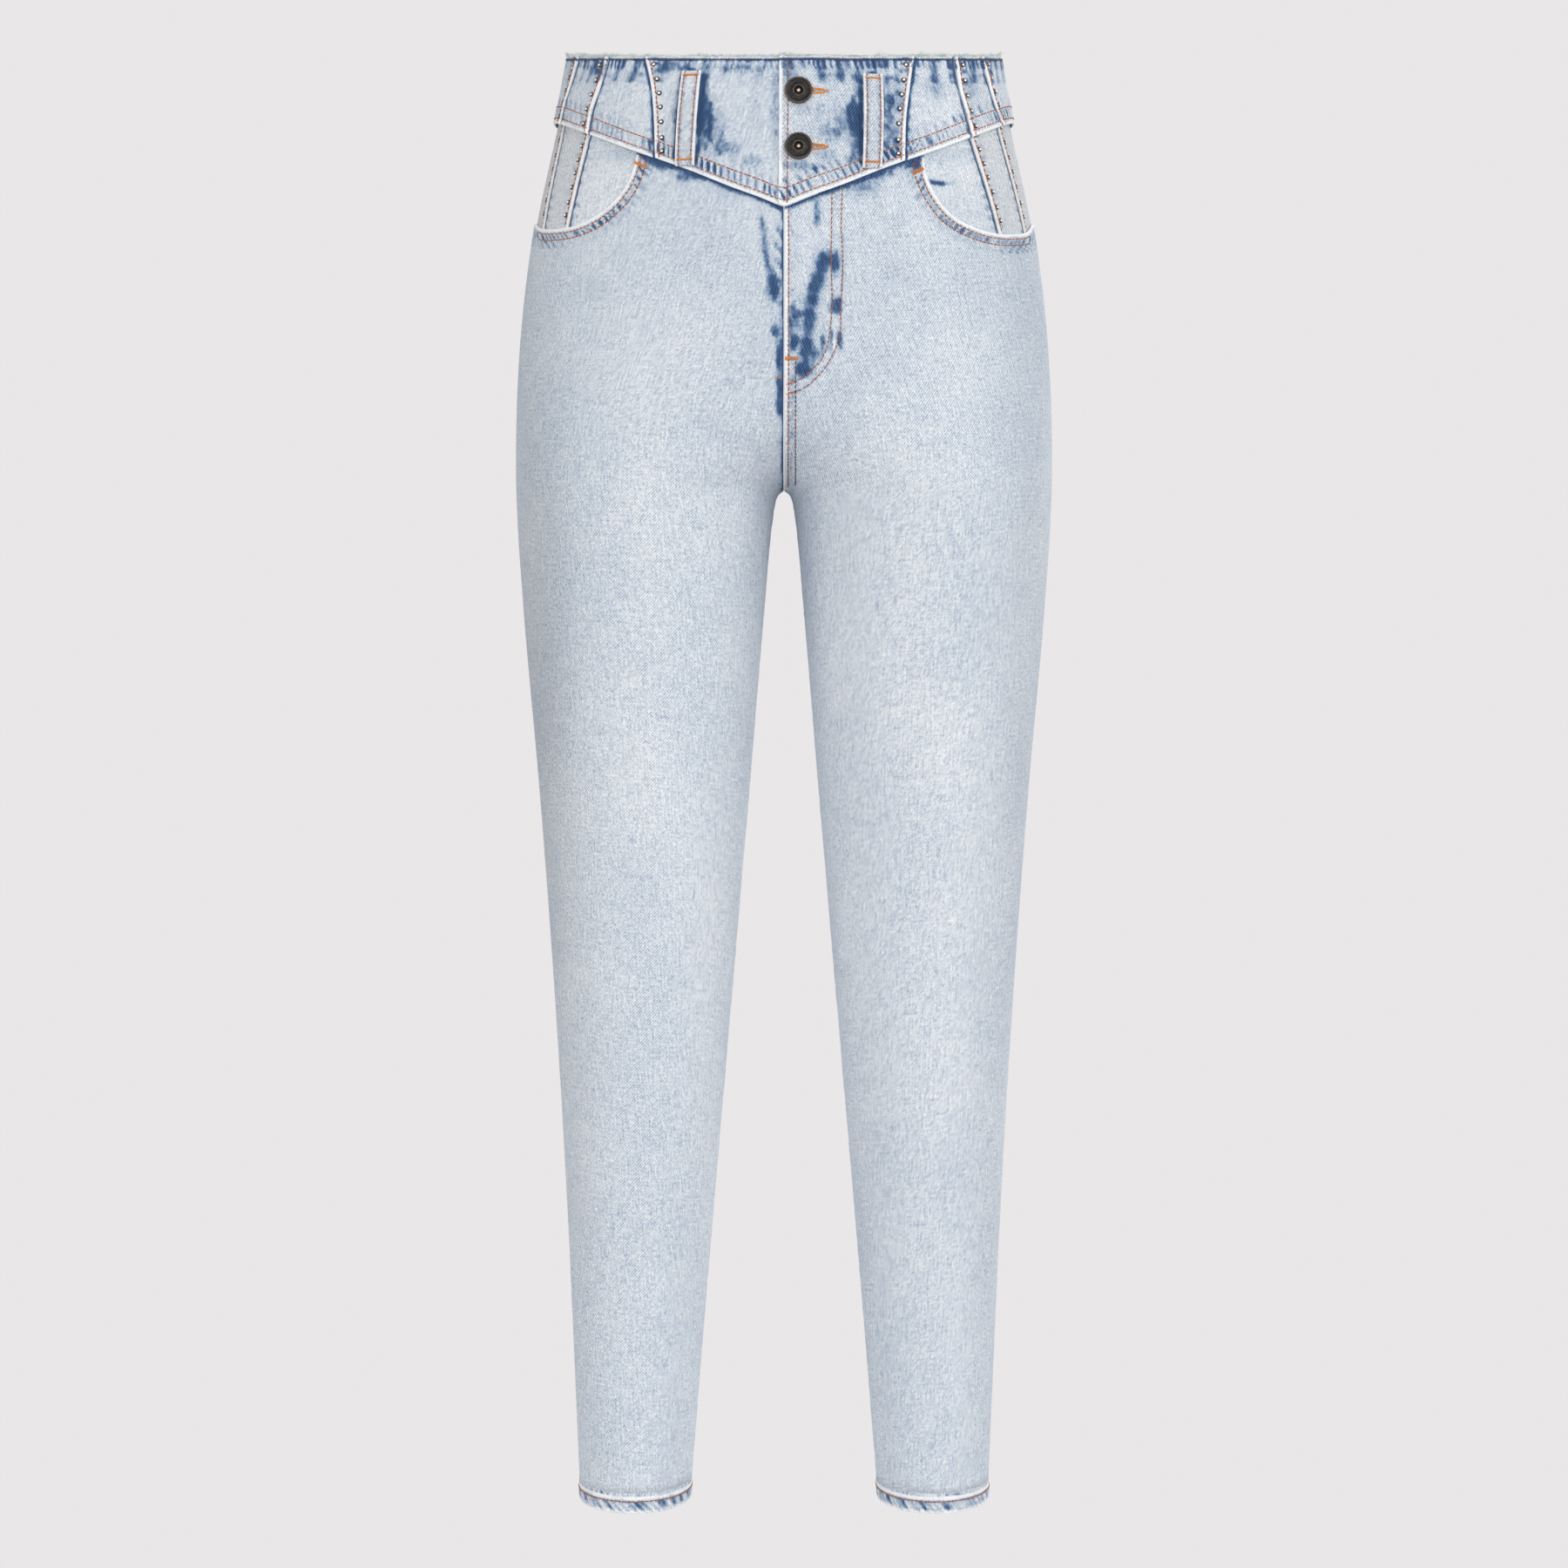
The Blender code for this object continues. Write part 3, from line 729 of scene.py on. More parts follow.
@dataclass(frozen=True)
class Puckers:
    """The small uneven gathers that stitching leaves between two distances from an edge."""

    near: float
    far: float
    pitch: float
    height: float
    indigo: float
    wear: float = 0.0
    slant: float = 0.0
    seed: int = 3

    def mark(self, away: np.ndarray, along: np.ndarray, marks: Marks) -> None:
        """Adds the gathers: a wave along the edge whose pitch and strength wander, inside a soft band.

        Args:
            away: Distances from the edge.
            along: Lengths along the edge.
            marks: What to add to.
        """
        along = along + self.slant * away + 200
        phase = along / self.pitch + 1.5 * wander(along / (2.3 * self.pitch), self.seed)
        wave = 0.5 + 0.5 * np.cos(2 * math.pi * phase)
        strength = 0.25 + 0.95 * wander(along / (3.1 * self.pitch) + 9, self.seed + 1) ** 1.3
        soft = min(1.2, (self.far - self.near) / 3)
        band = step_up(away, self.near - soft, self.near + soft)
        band = band * (1 - step_up(away, self.far - soft, self.far + soft))
        marks.lift += self.height * (wave - 0.5) * strength * band
        marks.indigo += self.indigo * (1 - wave) ** 1.6 * strength * band
        marks.wear += self.wear * wave**2 * strength * band


@dataclass(frozen=True)
class EdgeFinish:
    """How one edge of a panel is made: a ridge along it, wear and a dark band beside it, and its gathers. The
    dark band is painted shadow on edges that lie under a folded one, and the cloth's own darker blue on the
    rest.
    """

    rounded: bool = True
    ridge: float = 0.0
    ridge_at: float = 1.3
    ridge_width: float = 1.2
    wear: float = 0.0
    wear_at: float = 0.9
    wear_width: float = 1.3
    indigo: float = 0.0
    indigo_at: float = 0.6
    indigo_width: float = 1.3
    puckers: tuple = ()

    def mark(self, away: np.ndarray, along: np.ndarray, marks: Marks) -> None:
        """Adds the edge's ridge, wear, dark band and gathers by the distance from it.

        Args:
            away: Distances from the edge.
            along: Lengths along the edge.
            marks: What to add to.
        """
        uneven = 0.7 + 0.5 * wander(along / 5 + 40, 11)
        patchy = 0.5 + 0.8 * wander(along / 6 + 80, 12)
        marks.lift += self.ridge * np.exp(-(((away - self.ridge_at) / self.ridge_width) ** 2))
        marks.wear += self.wear * uneven * np.exp(-(((away - self.wear_at) / self.wear_width) ** 2))
        marks.indigo += self.indigo * patchy * np.exp(-(((away - self.indigo_at) / self.indigo_width) ** 2))
        for gathers in self.puckers:
            gathers.mark(away, along, marks)


PLAIN = EdgeFinish(rounded=False)
# The studded side of a yoke seam stands up in a worn ridge, and the other side lies under it, with a painted
# shadow of the ridge along its edge
STUDDED = EdgeFinish(ridge=0.8, wear=1.2, wear_width=1.2,
                     puckers=(Puckers(3.0, 8.5, 6.5, 0.5, 0.6, seed=21),))
BUTTED = EdgeFinish(ridge=-0.35, ridge_at=0.8, indigo=1.5, indigo_at=0.3, indigo_width=1.1,
                    puckers=(Puckers(0.8, 6.0, 7.5, 0.4, 0.6, seed=23),))
YOKE_END = EdgeFinish(ridge=0.5, ridge_at=1.5, wear=1.2, wear_at=0.8, wear_width=1.4,
                      puckers=(Puckers(4.1, 10.4, 4.4, 0.8, 1.3, 0.5, 0.2, 31),
                               Puckers(0.2, 3.2, 3.6, 0.3, 0.3, seed=32),
                               Puckers(11.4, 17.0, 6.1, 0.5, 0.6, slant=0.3, seed=33)))
RAW = EdgeFinish(rounded=False, wear=0.5, wear_at=0.0, wear_width=0.9, indigo=1.3, indigo_at=1.9,
                 indigo_width=0.8, puckers=(Puckers(1.6, 8.0, 4.2, 0.7, 1.0, 0.3, seed=41),
                                            Puckers(2.0, 17.0, 12.0, 0.7, 0.6, slant=0.2, seed=43)))
ROLLED = EdgeFinish()
MOUTH_FOLD = EdgeFinish(ridge=0.5, ridge_at=1.5, wear=1.2, wear_at=0.9, wear_width=1.3,
                        puckers=(Puckers(3.6, 7.0, 5.2, 0.6, 1.5, 0.4, 0.3, 51),
                                 Puckers(7.2, 12.5, 6.0, 0.4, 0.6, slant=0.4, seed=52)))
FLY_FOLD = EdgeFinish(ridge=0.8, ridge_at=1.7, ridge_width=1.5, wear=1.2, wear_at=1.0, wear_width=1.2,
                      puckers=(Puckers(3.0, 6.5, 9.0, 0.3, 0.35, seed=61),))
# The fly's under side carries a painted shadow along the edge that the fly's fold lies over
FLY_UNDER = EdgeFinish(ridge=-0.25, indigo=1.5, indigo_at=0.2, indigo_width=1.2,
                       puckers=(Puckers(1.0, 6.0, 11.0, 0.35, 0.5, seed=63),))
SEWN = EdgeFinish(ridge=-0.25, ridge_at=0.0, ridge_width=1.4, wear=0.3, wear_at=2.2, indigo=0.35,
                  indigo_at=0.0, puckers=(Puckers(0.5, 9.0, 9.5, 0.45, 0.25, 0.2, seed=71),))
FELLED = EdgeFinish(ridge=0.45, ridge_at=1.6, wear=0.5, wear_at=1.4,
                    puckers=(Puckers(2.5, 8.0, 7.0, 0.4, 0.35, 0.2, seed=75),))
LOOP_EDGE = EdgeFinish(ridge=0.3, ridge_at=0.9, ridge_width=0.8, wear=1.1, wear_at=0.5, wear_width=0.7,
                       indigo=0.35, indigo_at=2.4, indigo_width=0.7,
                       puckers=(Puckers(1.6, 4.0, 5.0, 0.25, 0.35, seed=81),))
SHORT_END = EdgeFinish(wear=0.5, wear_at=0.6, wear_width=1.0)


@dataclass(frozen=True)
class EdgeLine:
    """An edge's finish beside a line that the front elevation shows, by the distance from that line."""

    points: tuple
    finish: EdgeFinish

    def mark(self, places: Places, marks: Marks) -> None:
        """Adds the finish beside the line."""
        away, _, _ = nearest(curve(self.points, 40), *places.on(Plane.FRONT_VIEW))
        self.finish.mark(np.abs(away), places.girth - places.z + 400, marks)


@dataclass(frozen=True)
class BelowYoke:
    """The dark line below the yoke's edge, partly painted shadow and partly darker unwashed cloth under the
    fold, and the soft painted shade under it, that the leg panels show.
    """

    def mark(self, places: Places, marks: Marks) -> None:
        """Adds the painted line and shade: exp(-(distance / width)^2) by the height below the yoke's edge."""
        away = FORM.yoke_end_z(places.turn) - places.z
        uneven = 0.75 + 0.5 * wander(places.girth / 5 + 60, 301)
        # painted shadow, with the unwashed cloth, in a dark line just under the yoke's edge
        marks.indigo += 2.2 * uneven * np.exp(-(((away - 0.2) / 1.4) ** 2))
        soft = wander(places.girth / 14 + 60, 302) ** 1.5
        # painted shade, softer and a few millimetres further down
        marks.indigo += 0.35 * soft * np.exp(-(((away - 3) / 5) ** 2))


def made_piece(
    name: str,
    points: np.ndarray,
    faces: list,
    finish: bpy.types.Material,
    uv: np.ndarray | None = None,
    values: dict | None = None,
) -> bpy.types.Object:
    """A mesh object at the origin, made from whole arrays.

    Args:
        name: The piece's name.
        points: Vertices in millimetres.
        faces: Arrays of vertex numbers, one array for each number of corners.
        finish: The piece's material.
        uv: A place in the cloth for each vertex, in metres.
        values: Numbers for each vertex, by attribute name.

    Returns:
        The object, linked to the scene.
    """
    used, corners = np.unique(np.concatenate([f.ravel() for f in faces]), return_inverse=True)
    sizes = np.concatenate([np.full(len(f), f.shape[1]) for f in faces])
    mesh = bpy.data.meshes.new(name)
    mesh.vertices.add(len(used))
    mesh.vertices.foreach_set("co", (points[used] * MM).astype(np.float32).ravel())
    mesh.loops.add(len(corners))
    mesh.loops.foreach_set("vertex_index", corners.ravel().astype(np.int32))
    mesh.polygons.add(len(sizes))
    mesh.polygons.foreach_set("loop_start", np.concatenate([[0], np.cumsum(sizes)[:-1]]).astype(np.int32))
    mesh.update(calc_edges=True)
    if uv is not None:
        layer = mesh.uv_layers.new(name="UVMap")
        layer.data.foreach_set("uv", uv[used][corners.ravel()].astype(np.float32).ravel())
    for key, numbers in (values or {}).items():
        attribute = mesh.attributes.new(key, "FLOAT", "POINT")
        attribute.data.foreach_set("value", numbers[used].astype(np.float32).ravel())
    mesh.materials.append(finish)
    mesh.shade_smooth()
    obj = bpy.data.objects.new(name, mesh)
    bpy.context.scene.collection.objects.link(obj)
    return obj


@dataclass
class Path:
    """A line on a finished surface: its points, the way the surface faces, and its length."""

    points: np.ndarray
    normals: np.ndarray

    @property
    def length(self) -> float:
        """The line's length."""
        return float(length_along(self.points, 0)[-1])

    def at(self, distance: np.ndarray) -> tuple[np.ndarray, np.ndarray]:
        """The points and normals at distances along the line, read between its own points."""
        run = length_along(self.points, 0)
        read = [np.interp(distance, run, column) for column in (*self.points.T, *self.normals.T)]
        both = np.stack(read, axis=-1)
        return both[..., :3], unit(both[..., 3:])

    def part(self, start: float, end: float) -> "Path":
        """The stretch of the line between two distances along it."""
        count = max(2, round((end - start) / 1.5))
        return Path(*self.at(np.linspace(start, end, count)))


@dataclass
class Shell:
    """A piece of cloth with an outer face, an inner face and rims, on a grid of rows and columns.

    The rows run down and the columns from front to back. Each point is moved out along the garment form's
    own direction by the layer's lift and by what the marks add.
    """

    name: str
    side: Side
    turn: np.ndarray
    z: np.ndarray
    lift: np.ndarray
    wall: float = WALL
    edges: dict = field(default_factory=dict)
    marks_on: tuple = ()
    closed: bool = False
    keep: np.ndarray | None = None
    grain: float = 0.0
    grey: float = 0.0
    apart: bool = False
    area: float = 0.0
    size: tuple = (0.0, 0.0)

    def __post_init__(self) -> None:
        """Works out the marks and both faces of the cloth."""
        self.places = Places(self.side, self.turn, self.z)
        base = FORM.surface(self.turn, self.z)
        down, over = length_along(base, 0), length_along(base, 1)
        girth = self.side.value * np.broadcast_to(self.places.girth, self.turn.shape)
        away = {
            Edge.TOP: (down, girth),
            Edge.BOTTOM: (down[-1:] - down, girth),
            Edge.FRONT: (over, down),
            Edge.BACK: (over[:, -1:] - over, down),
        }
        self.marks = Marks.blank(self.turn.shape)
        for edge, finish in self.edges.items():
            finish.mark(*away[edge], self.marks)
        for mark in self.marks_on:
            mark.mark(self.places, self.marks)
        radius = self.wall * EDGE_ROUNDING
        roll = np.zeros(self.turn.shape)
        for edge, finish in self.edges.items():
            if finish.rounded:
                near = np.clip(radius - away[edge][0], 0, radius)
                roll = np.maximum(roll, radius - np.sqrt(np.maximum(radius**2 - near**2, 0)))
        lift = self.lift + self.marks.lift
        out = FORM.outward(self.turn, self.z)
        self.outer = base + out * (lift - roll)[..., None]
        self.inner = base + out * (lift - self.wall + roll)[..., None]
        if self.apart:
            self.outer[..., 0] = np.maximum(self.outer[..., 0], GAP / 2)
            self.inner[..., 0] = np.maximum(self.inner[..., 0], GAP / 2)
        mirror = np.array([self.side.value, 1, 1])
        self.outer, self.inner, self.out = self.outer * mirror, self.inner * mirror, out * mirror
        self.down, self.over = down, over
        wide, tall = np.ptp(over, axis=1).max(), np.ptp(down, axis=0).max()
        self.size = (wide * MM, tall * MM)

    def faces(self) -> list:
        """The quads of both faces and the rims along every edge, with the outer face facing out."""
        rows, columns = self.turn.shape
        shape = (rows - 1, columns if self.closed else columns - 1)
        r, c = np.indices(shape)
        d = (c + 1) % columns
        corner = [r * columns + c, (r + 1) * columns + c, (r + 1) * columns + d, r * columns + d]
        corner = np.stack(corner, axis=-1)
        keep = np.ones(shape, bool) if self.keep is None else self.keep
        padded = np.pad(keep, 1)
        if self.closed:
            padded[1:-1, 0], padded[1:-1, -1] = keep[:, -1], keep[:, 0]
        inner = rows * columns
        quads = [corner[keep], corner[keep][:, ::-1] + inner]
        kept_beside = {(3, 0): padded[:-2, 1:-1], (1, 2): padded[2:, 1:-1],
                       (0, 1): padded[1:-1, :-2], (2, 3): padded[1:-1, 2:]}
        for (a, b), beside in kept_beside.items():
            first, second = corner[keep & ~beside][:, [a, b]].T
            quads.append(np.stack([second, first, first + inner, second + inner], axis=-1))
        quads = np.concatenate(quads)
        return [quads if self.side is Side.LEFT else quads[:, ::-1]]

    def build(self, finish: bpy.types.Material) -> bpy.types.Object:
        """Makes the mesh, with its cloth coordinates and marks.

        Args:
            finish: The cloth's material.

        Returns:
            The piece.
        """
        points = np.concatenate([self.outer.reshape(-1, 3), self.inner.reshape(-1, 3)])
        quads = self.faces()
        u = self.side.value * self.places.girth * MM
        v = self.places.z * MM
        turned = np.stack([u * math.cos(self.grain) + v * math.sin(self.grain),
                           v * math.cos(self.grain) - u * math.sin(self.grain)], axis=-1).reshape(-1, 2)
        shown = {"wear": self.marks.wear, "indigo": self.marks.indigo, "grey": self.marks.grey + self.grey}
        values = {key: np.clip(np.tile(number.ravel(), 2), -1, 1.5) for key, number in shown.items()}
        values["inside"] = np.repeat([0.0, 1.0], self.turn.size)
        piece = made_piece(self.name, points, quads, finish, np.tile(turned, (2, 1)), values)
        self.area = sum(p.area for p in piece.data.polygons) / 2
        return piece

    def path(self, edge: Edge, distance: float, start: float = 0.0, end: float = 1.0) -> Path:
        """A line on the outer face at a distance from one edge.

        Formula: on each row, or each column, the outer face is read where its length from the edge
        is the distance.

        Args:
            edge: The edge to keep from.
            distance: How far from it.
            start: The share of the edge to start at.
            end: The share of the edge to end at.

        Returns:
            The line.
        """
        lengthwise = edge in (Edge.TOP, Edge.BOTTOM)
        run = self.down.T if lengthwise else self.over
        run = run[:, -1:] - run if edge in (Edge.BOTTOM, Edge.BACK) else run
        grid = np.concatenate([self.outer, self.out], axis=-1)
        grid = grid.transpose(1, 0, 2) if lengthwise else grid
        if edge in (Edge.BOTTOM, Edge.BACK):
            run, grid = run[:, ::-1], grid[:, ::-1]
        first, last = round(start * (len(run) - 1)), round(end * (len(run) - 1))
        run, grid = run[first:last + 1], grid[first:last + 1]
        i = np.clip((run < distance).sum(axis=1) - 1, 0, run.shape[1] - 2)
        line = np.arange(len(run))
        low, high = run[line, i], run[line, i + 1]
        t = np.clip((distance - low) / np.maximum(high - low, 1e-6), 0, 1)[:, None]
        read = grid[line, i] * (1 - t) + grid[line, i + 1] * t
        if self.closed and lengthwise:
            read = np.concatenate([read, read[:1]])
        return Path(read[:, :3], unit(read[:, 3:]))


def front_path(
    across: np.ndarray, drop: np.ndarray, lift_of: Callable, marks_on: tuple, seat: float = 0.0,
) -> Path:
    """A line on a layer of the front that is given as the elevation shows it, on one side of the middle.

    Args:
        across: Distances from the middle, all with one sign.
        drop: Distances below the waist.
        lift_of: The layer's lift, as a function of turn and z.
        marks_on: The layer's marks.
        seat: How far above the cloth the line lies.

    Returns:
        The line.
    """
    across, drop = np.asarray(across, float), np.asarray(drop, float)
    side = Side.LEFT if across.mean() > 0 else Side.RIGHT
    turn, z = FORM.locate(across, drop)
    marks = Marks.blank(turn.shape)
    for mark in marks_on:
        mark.mark(Places(side, turn, z), marks)
    mirror = np.array([side.value, 1, 1])
    out = FORM.outward(turn, z)
    points = FORM.surface(turn, z) + out * (lift_of(turn, z) + marks.lift + seat)[..., None]
    return Path(points * mirror, out * mirror)


def leg_lift(turn: np.ndarray, z: np.ndarray) -> np.ndarray:
    """The leg panels lie on the form itself."""
    return np.zeros(np.shape(turn))


def yoke_lift(turn: np.ndarray, z: np.ndarray) -> np.ndarray:
    """The yoke lies on the leg panels."""
    return np.full(np.shape(turn), GAP + WALL)


def overlap_lift(turn: np.ndarray, z: np.ndarray) -> np.ndarray:
    """The buttoned edge lies on the button stand, and comes down to the rest of the yoke beside it."""
    x = np.abs(FORM.surface(turn, z)[..., 0])
    return GAP + WALL + (WALL + GAP) * (1 - step_up(x, *OVERLAP_RISE))


class Thread(Enum):
    """The sewing threads."""

    RUST = "rust"
    ORANGE = "orange"
    NAVY = "navy"


class Sewing:
    """Collects the stitches of each thread, and makes them one piece for each thread."""

    STATIONS = np.array([0.0, 0.3, 0.7, 1.0])
    GIRTHS = np.array([0.5, 1.0, 1.0, 0.5])
    RISES = np.array([-0.35, 0.45, 0.45, -0.35])

    def __init__(self) -> None:
        """Starts with no stitches."""
        self.stitches: dict = {thread: [] for thread in Thread}

    def add(self, thread: Thread, start: np.ndarray, end: np.ndarray, out: np.ndarray, radius: float) -> None:
        """Adds straight stitches.

        Args:
            thread: Which thread.
            start: Where each stitch comes out of the cloth.
            end: Where it goes in.
            out: The way the cloth faces there.
            radius: The thread's radius.
        """
        self.stitches[thread].append((start, end, out, np.full(len(start), radius)))

    def run(self, thread: Thread, path: Path, pitch: float = STITCH, radius: float = THREAD_RADIUS) -> None:
        """A row of running stitches along a path, of slightly uneven length.

        Args:
            thread: Which thread.
            path: The line on the cloth.
            pitch: The length of a stitch and its gap.
            radius: The thread's radius.
        """
        count = max(1, int(path.length / pitch))
        uneven = np.random.default_rng(count).uniform(-0.09, 0.09, count) * pitch
        start = (np.arange(count) + 0.1) * path.length / count + uneven
        first, out = path.at(start)
        last, _ = path.at(start + STITCH_SHARE * path.length / count)
        self.add(thread, first, last, out, radius)

    def bar_tack(self, thread: Thread, path: Path, width: float = 1.9) -> None:
        """A bar of close stitches across a short path, with one long stitch under them.

        Args:
            thread: Which thread.
            path: The line that the bar runs along.
            width: The length of the cross stitches.
        """
        count = max(4, round(path.length / TACK_PITCH))
        points, out = path.at(np.linspace(0, path.length, count))
        cross = unit(np.cross(out, np.gradient(points, axis=0)))
        lean = np.gradient(points, axis=0) * 0.25
        lengths = width / 2 * np.random.default_rng(count).uniform(0.85, 1.12, (count, 1))
        self.add(thread, points - cross * lengths - lean, points + cross * lengths + lean, out,
                 TACK_RADIUS)

    def build(self, finishes: dict) -> list:
        """Makes the stitches: each a four-sided rod through four rings, thin and sunk at both ends.

        Args:
            finishes: The material of each thread.

        Returns:
            One piece for each thread in use.
        """
        made = []
        for thread, groups in self.stitches.items():
            if not groups:
                continue
            start, end, out, radius = (np.concatenate(part) for part in zip(*groups))
            way = unit(end - start)
            cross = unit(np.cross(out, way))
            out = unit(np.cross(way, cross))
            t = self.STATIONS[None, :, None]
            centre = start[:, None] * (1 - t) + end[:, None] * t
            centre = centre + out[:, None] * (self.RISES[None, :] * radius[:, None])[..., None]
            spoke = spokes(CORNERS, cross, out)
            reach = (self.GIRTHS[None, :] * radius[:, None])[:, :, None, None]
            points = (centre[:, :, None] + spoke[:, None] * reach).reshape(-1, 3)
            faces = rod_faces(len(start), 4, 4)
            made.append(made_piece(f"stitching_{thread.value}", points, faces, finishes[thread]))
        return made


def spokes(angle: np.ndarray, cross: np.ndarray, out: np.ndarray) -> np.ndarray:
    """The ways round each rod: cos a times its way across, and sin a times its way out."""
    return np.cos(angle)[None, :, None] * cross[:, None] + np.sin(angle)[None, :, None] * out[:, None]


def rod_faces(count: int, rings: int, sides: int) -> list:
    """The faces of many closed rods whose points are numbered rod by rod and ring by ring.

    Args:
        count: How many rods.
        rings: Rings in each rod.
        sides: Points in each ring.

    Returns:
        The side faces and the end caps.
    """
    base = (np.arange(count) * rings * sides)[:, None, None]
    i, j = np.arange(rings - 1)[None, :, None], np.arange(sides)[None, None, :]
    k = (j + 1) % sides
    quads = np.stack(np.broadcast_arrays(
        base + i * sides + j, base + i * sides + k, base + (i + 1) * sides + k, base + (i + 1) * sides + j,
    ), axis=-1).reshape(-1, 4)
    ring = np.arange(sides)
    caps = np.concatenate([base[:, 0] + ring[::-1], base[:, 0] + (rings - 1) * sides + ring])
    return [quads, caps] if sides != 4 else [np.concatenate([quads, caps])]


def turned_points(profile: tuple, steps: int) -> tuple[np.ndarray, list]:
    """A profile turned about its axis, with both ends on the axis.

    Formula: each (radius, height) of the profile is carried round in a circle of even steps.

    Args:
        profile: Points (radius, height) from the middle of the front to the middle of the back.
        steps: How many sides the circle has.

    Returns:
        The points about the axis, and the faces, facing out.
    """
    radius, height = np.array(profile, float)[1:-1].T
    angle = np.arange(steps) * 2 * math.pi / steps
    rings = np.stack([radius[:, None] * np.cos(angle), radius[:, None] * np.sin(angle),
                      np.repeat(height[:, None], steps, axis=1)], axis=-1).reshape(-1, 3)
    points = np.concatenate([rings, [[0, 0, profile[0][1]], [0, 0, profile[-1][1]]]])
    i, j = np.indices((len(radius) - 1, steps))
    k = (j + 1) % steps
    quads = np.stack([i * steps + j, (i + 1) * steps + j, (i + 1) * steps + k, i * steps + k], axis=-1)
    j = np.arange(steps)
    k = (j + 1) % steps
    last = (len(radius) - 1) * steps
    front = np.stack([np.full(steps, len(rings)), j, k], axis=-1)
    back = np.stack([np.full(steps, len(rings) + 1), last + k, last + j], axis=-1)
    return points, [quads.reshape(-1, 4), np.concatenate([front, back])]


def placed(points: np.ndarray, faces: list, at: np.ndarray, out: np.ndarray) -> tuple[np.ndarray, list]:
    """Copies of one shape at many places, with its Z turned to face out at each.

    Args:
        points: The shape's points.
        faces: The shape's faces.
        at: The places.
        out: The way that each place faces.

    Returns:
        All the points and all the faces.
    """
    side = unit(np.cross(np.array([0.0, 0.0, 1.0]), out))
    up = np.cross(out, side)
    frames = np.stack([side, up, out], axis=1)
    moved = points @ frames + at[:, None]
    shift = (np.arange(len(at)) * len(points))[:, None, None]
    return moved.reshape(-1, 3), [(f[None] + shift).reshape(-1, f.shape[1]) for f in faces]


def srgb(red: float, green: float, blue: float) -> tuple:
    """A colour given as a screen shows it, from 0 to 255, as the linear colour that a shader takes."""
    levels = np.array([red, green, blue]) / 255
    linear = np.where(levels <= 0.04045, levels / 12.92, ((levels + 0.055) / 1.055) ** 2.4)
    return (*linear.tolist(), 1.0)


class Number:
    """A shader value that takes part in sums written as Python expressions."""

    def __init__(self, shader: "Shader", socket: bpy.types.NodeSocket) -> None:
        """Keeps the socket and the shader that its sums are added to."""
        self.shader, self.socket = shader, socket

    def __add__(self, other: "Number | float") -> "Number":
        """The sum."""
        return self.shader.sum("ADD", self, other)

    def __radd__(self, other: float) -> "Number":
        """The sum, with the number first."""
        return self.shader.sum("ADD", other, self)

    def __sub__(self, other: "Number | float") -> "Number":
        """The difference."""
        return self.shader.sum("SUBTRACT", self, other)

    def __rsub__(self, other: float) -> "Number":
        """The difference, with the number first."""
        return self.shader.sum("SUBTRACT", other, self)

    def __mul__(self, other: "Number | float") -> "Number":
        """The product."""
        return self.shader.sum("MULTIPLY", self, other)

    def __rmul__(self, other: float) -> "Number":
        """The product, with the number first."""
        return self.shader.sum("MULTIPLY", other, self)

    def sine(self) -> "Number":
        """Its sine."""
        return self.shader.sum("SINE", self, 0.0)

    def between(self, low: float, high: float) -> "Number":
        """0 below low and 1 above high, with a smooth step between."""
        settings = {"interpolation_type": "SMOOTHSTEP"}
        inputs = {"Value": self, "From Min": low, "From Max": high}
        node = self.shader.node("ShaderNodeMapRange", settings, inputs)
        return Number(self.shader, node.outputs["Result"])


